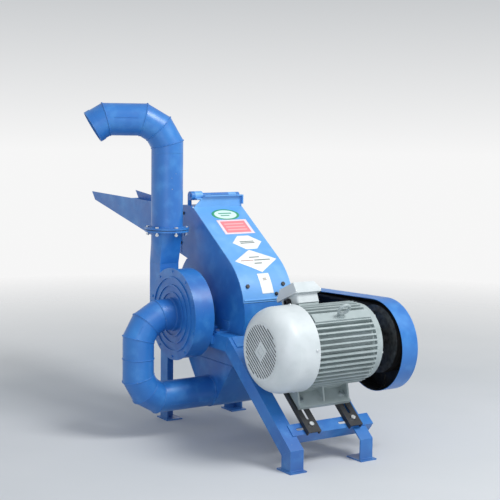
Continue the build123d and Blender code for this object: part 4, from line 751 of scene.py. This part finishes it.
def vinyl(name, ground, marks, rim=None):
    """Printed vinyl: bars (u low, u high, v low, v high, ink) on a ground, and a rim for an oval.

    The rim is where the distance from the sticker's middle is nearly the whole of its half size.
    """
    material, tree, shader, place = new_finish(name, Coat_Weight=0.5, Coat_Roughness=0.15)
    flat = add(tree, "ShaderNodeUVMap", uv_map="print")
    along = add(tree, "ShaderNodeSeparateXYZ", {0: flat}, out=0)
    upward = add(tree, "ShaderNodeSeparateXYZ", {0: flat}, out=1)
    layers = [(patches(tree, place, 20, 0.4, 0.8), 0.25, "#b9c3c4")]
    for u_low, u_high, v_low, v_high, ink in marks:
        sides = {0: strip(tree, along, u_low, u_high), 1: strip(tree, upward, v_low, v_high)}
        layers.append((add(tree, "ShaderNodeMath", sides, operation="MINIMUM"), 1.0, ink))
    if rim:
        middle = {0: flat, 1: (0.5, 0.5, 0.0)}
        distance = add(tree, "ShaderNodeVectorMath", middle, out="Value", operation="DISTANCE")
        layers.append((strip(tree, distance, 0.405, 0.6), 1.0, rim))
    colour = coat(tree, linear(ground), layers)
    grain = (patches(tree, place, 5, 0.0, 1.0), 0.03, 0.3)
    surface(tree, shader, colour, patches(tree, place, 15, 0.3, 0.7), (0.3, 0.5), [grain])
    return material


def bars(rows, ink, u_low=0.2, u_high=0.8, high=0.045):
    """Even printed bars at the given heights."""
    return [(u_low, u_high, v - high / 2, v + high / 2, ink) for v in rows]


white, grey_ink, red_ink = "#f3f5f4", "#6f7d78", "#e8848c"
stickers = [
    (
        "sticker_oval",
        "oval",
        (0.522, 0.011),
        (0.037, 0.071),
        vinyl(
            "printed_vinyl_oval",
            "#d8f2ea",
            [(0.26, 0.74, 0.55, 0.66, "#5aa88c"), (0.30, 0.62, 0.36, 0.44, "#3f8f74")],
            rim="#2f9c6c",
        ),
    ),
    (
        "sticker_red_panel",
        "panel",
        (0.434, 0.020),
        (0.050, 0.078),
        vinyl(
            "printed_vinyl_red",
            "#f2dfe6",
            [(0.09, 0.91, 0.10, 0.90, red_ink), *bars((0.30, 0.50, 0.70), "#f4b3b4", 0.18, 0.82, 0.07)],
        ),
    ),
    (
        "sticker_hexagon",
        "hexagon",
        (0.324, 0.022),
        (0.046, 0.076),
        vinyl("printed_vinyl_hexagon", white, bars((0.45, 0.56), grey_ink, 0.26, 0.74, 0.07)),
    ),
    (
        "sticker_diamond",
        "diamond",
        (0.204, 0.004),
        (0.070, 0.108),
        vinyl(
            "printed_vinyl_diamond",
            white,
            [*bars((0.64,), grey_ink, 0.38, 0.62, 0.05), *bars((0.50,), "#9a5a48", 0.14, 0.44, 0.03)]
            + [*bars((0.50,), grey_ink, 0.46, 0.84, 0.05), *bars((0.36,), grey_ink, 0.42, 0.60, 0.05)],
        ),
    ),
    (
        "sticker_plate",
        "panel",
        (0.081, 0.002),
        (0.047, 0.029),
        vinyl("printed_vinyl_plate", white, bars((0.66, 0.74), "#8a8070", 0.34, 0.66, 0.05)),
    ),
]
for sticker_facts in stickers:
    sticker(*sticker_facts)

# %% [markdown]
# ## The cover's hem and latch stud
#
# The cover's lower edge is hemmed: folded back on itself, which shows as a bright line. It is a
# half-round ridge across the cover. Beside the lowest sticker stands a latch stud.

# %% Cover hem
HEM_UP, HEM_R, HEM_POINTS = 0.010, 0.0032, 120
hem_xs = np.linspace(-CASE_X + 0.004, CASE_X - 0.004, HEM_POINTS)
hem_path = on_cover(np.full(HEM_POINTS, HEM_UP), hem_xs, 0.001)
hem_out = unit(hem_path - np.stack([hem_xs, *(np.full(HEM_POINTS, v) for v in mill_axis)], axis=1))
hem_side = np.cross(np.tile((1.0, 0, 0), (HEM_POINTS, 1)), hem_out)
ring_turn = np.linspace(0, 2 * np.pi, 10, endpoint=False)[None, :, None]
hem_ring = np.cos(ring_turn) * hem_out[:, None] + 1.5 * np.sin(ring_turn) * hem_side[:, None]
hem = hem_path[:, None] + HEM_R * hem_ring
shell("cover_hem", [(hem, False)], "cover", lit_cover_enamel)


# %% [markdown]
# ## Screws and studs
#
# A domed screw head is a profile spun about its axis: a low cylinder wall that rolls over into a
# shallow dome. The same function serves the cowl's screws, the terminal box lid and the studs on
# the casing, each at its own size.


# %% Domed heads
def domed_head(base, direction, radius, height, sides=20):
    """A screw head: (share of radius, share of height) points spun about the direction."""
    profile = np.array(
        [(0.98, 0), (1, 0.1), (1, 0.45), (0.94, 0.68), (0.78, 0.86), (0.5, 0.96), (0.2, 1.0)]
    )
    direction = unit(direction)
    first, second = two_across(direction)
    turn = np.linspace(0, 2 * np.pi, sides, endpoint=False)[None, :, None]
    ring = np.cos(turn) * first + np.sin(turn) * second
    wide, high = radius * profile[:, :1, None], height * profile[:, 1:, None]
    return np.asarray(base, float) + wide * ring + high * direction, False


uphill = np.array((0, math.cos(slope), math.sin(slope)))
off_slope = np.array((0, -math.sin(slope), math.cos(slope)))
motor_centre = np.array(axis_of["motor_spin"]) * (0, 1, 1)


def motor_place(x, angle, radius):
    """A point round the motor and the direction out from its axis, angle from uphill."""
    out = math.cos(angle) * uphill + math.sin(angle) * off_slope
    return motor_centre + np.array((x, 0, 0)) + radius * out, out


cowl_heads = []
COWL_SCREW_X, COWL_SCREW_OUT = -0.108, 0.1755
for quarter in range(4):
    point, out = motor_place(COWL_SCREW_X, math.radians(45 + 90 * quarter), COWL_SCREW_OUT)
    cowl_heads.append(domed_head(point, out, 0.0055, 0.004))
shell("cowl_screws", cowl_heads, "motor", zinc_plate)

BOX_X, BOX_ANGLE, LID_RIM_UP = -0.018, math.radians(28), 0.2162
lid_middle, lid_out = motor_place(BOX_X, BOX_ANGLE, LID_RIM_UP)
lid_side = np.cross((1.0, 0.0, 0.0), lid_out)
lid_heads = [
    domed_head(lid_middle + np.array((x, 0, 0)) + t * lid_side, lid_out, 0.0045, 0.0035)
    for x in (-0.060, 0.060)
    for t in (-0.071, 0.071)
]
shell("lid_screws", lid_heads, "motor", zinc_plate)

stud_points = [(0.452, 0.950), (0.471, 0.815), (0.462, 0.885)]
studs = [
    domed_head((side * CASE_X, y, z), (side, 0, 0), 0.007, 0.006)
    for side in (-1, 1)
    for y, z in stud_points
]
shell("casing_studs", studs, "machine", black_enamel)
LATCH_UP, LATCH_X = 0.030, 0.042
stud_at = on_cover(np.array([LATCH_UP]), np.array([LATCH_X]), 0.0)[0]
stud_out = unit(stud_at - np.array((stud_at[0], rotor_y, rotor_z)))
shell("latch_stud", [domed_head(stud_at, stud_out, 0.008, 0.010)], "cover", black_enamel)

# %% [markdown]
# ## Floor, air and light
#
# The machine stands on a plain pale floor that fades into a pale sky, so no line shows behind
# it. One large soft lamp above and in front makes the upward faces the lightest. A second,
# weaker one lifts the shaded left side.


# %% Floor
def floor_disc(radius, rings=24, sides=96):
    """A flat disc: rings of points whose radius grows with the square of their number."""
    reach = radius * np.linspace(0.02, 1, rings)[:, None] ** 2
    turn = np.linspace(0, 2 * np.pi, sides, endpoint=False)
    return np.stack([reach * np.cos(turn), reach * np.sin(turn), np.zeros((rings, sides))], axis=-1)


disc_grid = floor_disc(26.0)
floor_mesh = bpy.data.meshes.new("floor")
floor_faces = grid_faces(*disc_grid.shape[:2], False, True)
centre_cap = list(range(disc_grid.shape[1]))
floor_mesh.from_pydata(disc_grid.reshape(-1, 3).tolist(), [], floor_faces.tolist() + [centre_cap])
floor = bpy.data.objects.new("floor", floor_mesh)
bpy.context.scene.collection.objects.link(floor)
floor_paint, tree, shader, place = new_finish("matt_studio_floor", Roughness=0.85)
floor_colour = coat(tree, linear("#c6cacd"), [(patches(tree, place, 900, 0.3, 0.7), 1.0, "#cccfd2")])
tree.links.new(floor_colour, shader.inputs["Base Color"])
away = add(tree, "ShaderNodeVectorMath", {0: place}, out="Value", operation="LENGTH")
fade = add(tree, "ShaderNodeMapRange", {"Value": away, "From Min": 1.6, "From Max": 5.5})
clear = add(tree, "ShaderNodeBsdfTransparent")
faded = add(tree, "ShaderNodeMixShader", {0: fade, 1: shader.outputs[0], 2: clear})
add(tree, "ShaderNodeOutputMaterial", {"Surface": faded}, is_active_output=True)
floor_mesh.materials.append(floor_paint)

# %% Air
world = bpy.data.worlds.new("studio")
bpy.context.scene.world = world
world.use_nodes = True
air = world.node_tree
air.nodes.clear()
look = add(air, "ShaderNodeTexCoord", out="Generated")
look_up = add(air, "ShaderNodeSeparateXYZ", {0: look}, out=2)
climb = add(air, "ShaderNodeMapRange", {"Value": look_up, "From Min": -0.03, "From Max": 0.11})
sky = coat(air, linear("#fcfcfc"), [(climb, 1.0, "#c8cbce")])
backdrop = add(air, "ShaderNodeBackground", {"Color": sky, "Strength": 0.95})
add(air, "ShaderNodeOutputWorld", {"Surface": backdrop})


# %% Lamps
def soft_lamp(name, place_at, aim, size, power, colour):
    """A square area lamp at a place, turned to face a point."""
    lamp = bpy.data.objects.new(name, bpy.data.lights.new(name, "AREA"))
    lamp.data.size = size
    lamp.data.energy = power
    lamp.data.color = linear(colour)[:3]
    lamp.location = place_at
    lamp.rotation_euler = (Vector(aim) - Vector(place_at)).to_track_quat("-Z", "Y").to_euler()
    bpy.context.scene.collection.objects.link(lamp)


soft_lamp("key_lamp", (1.3, -3.0, 4.5), (0, 0, 0.6), 2.0, 190, "#ffffff")
soft_lamp("fill_lamp", (-2.6, -3.2, 1.4), (0, 0.1, 0.6), 2.0, 22, "#e8ecff")
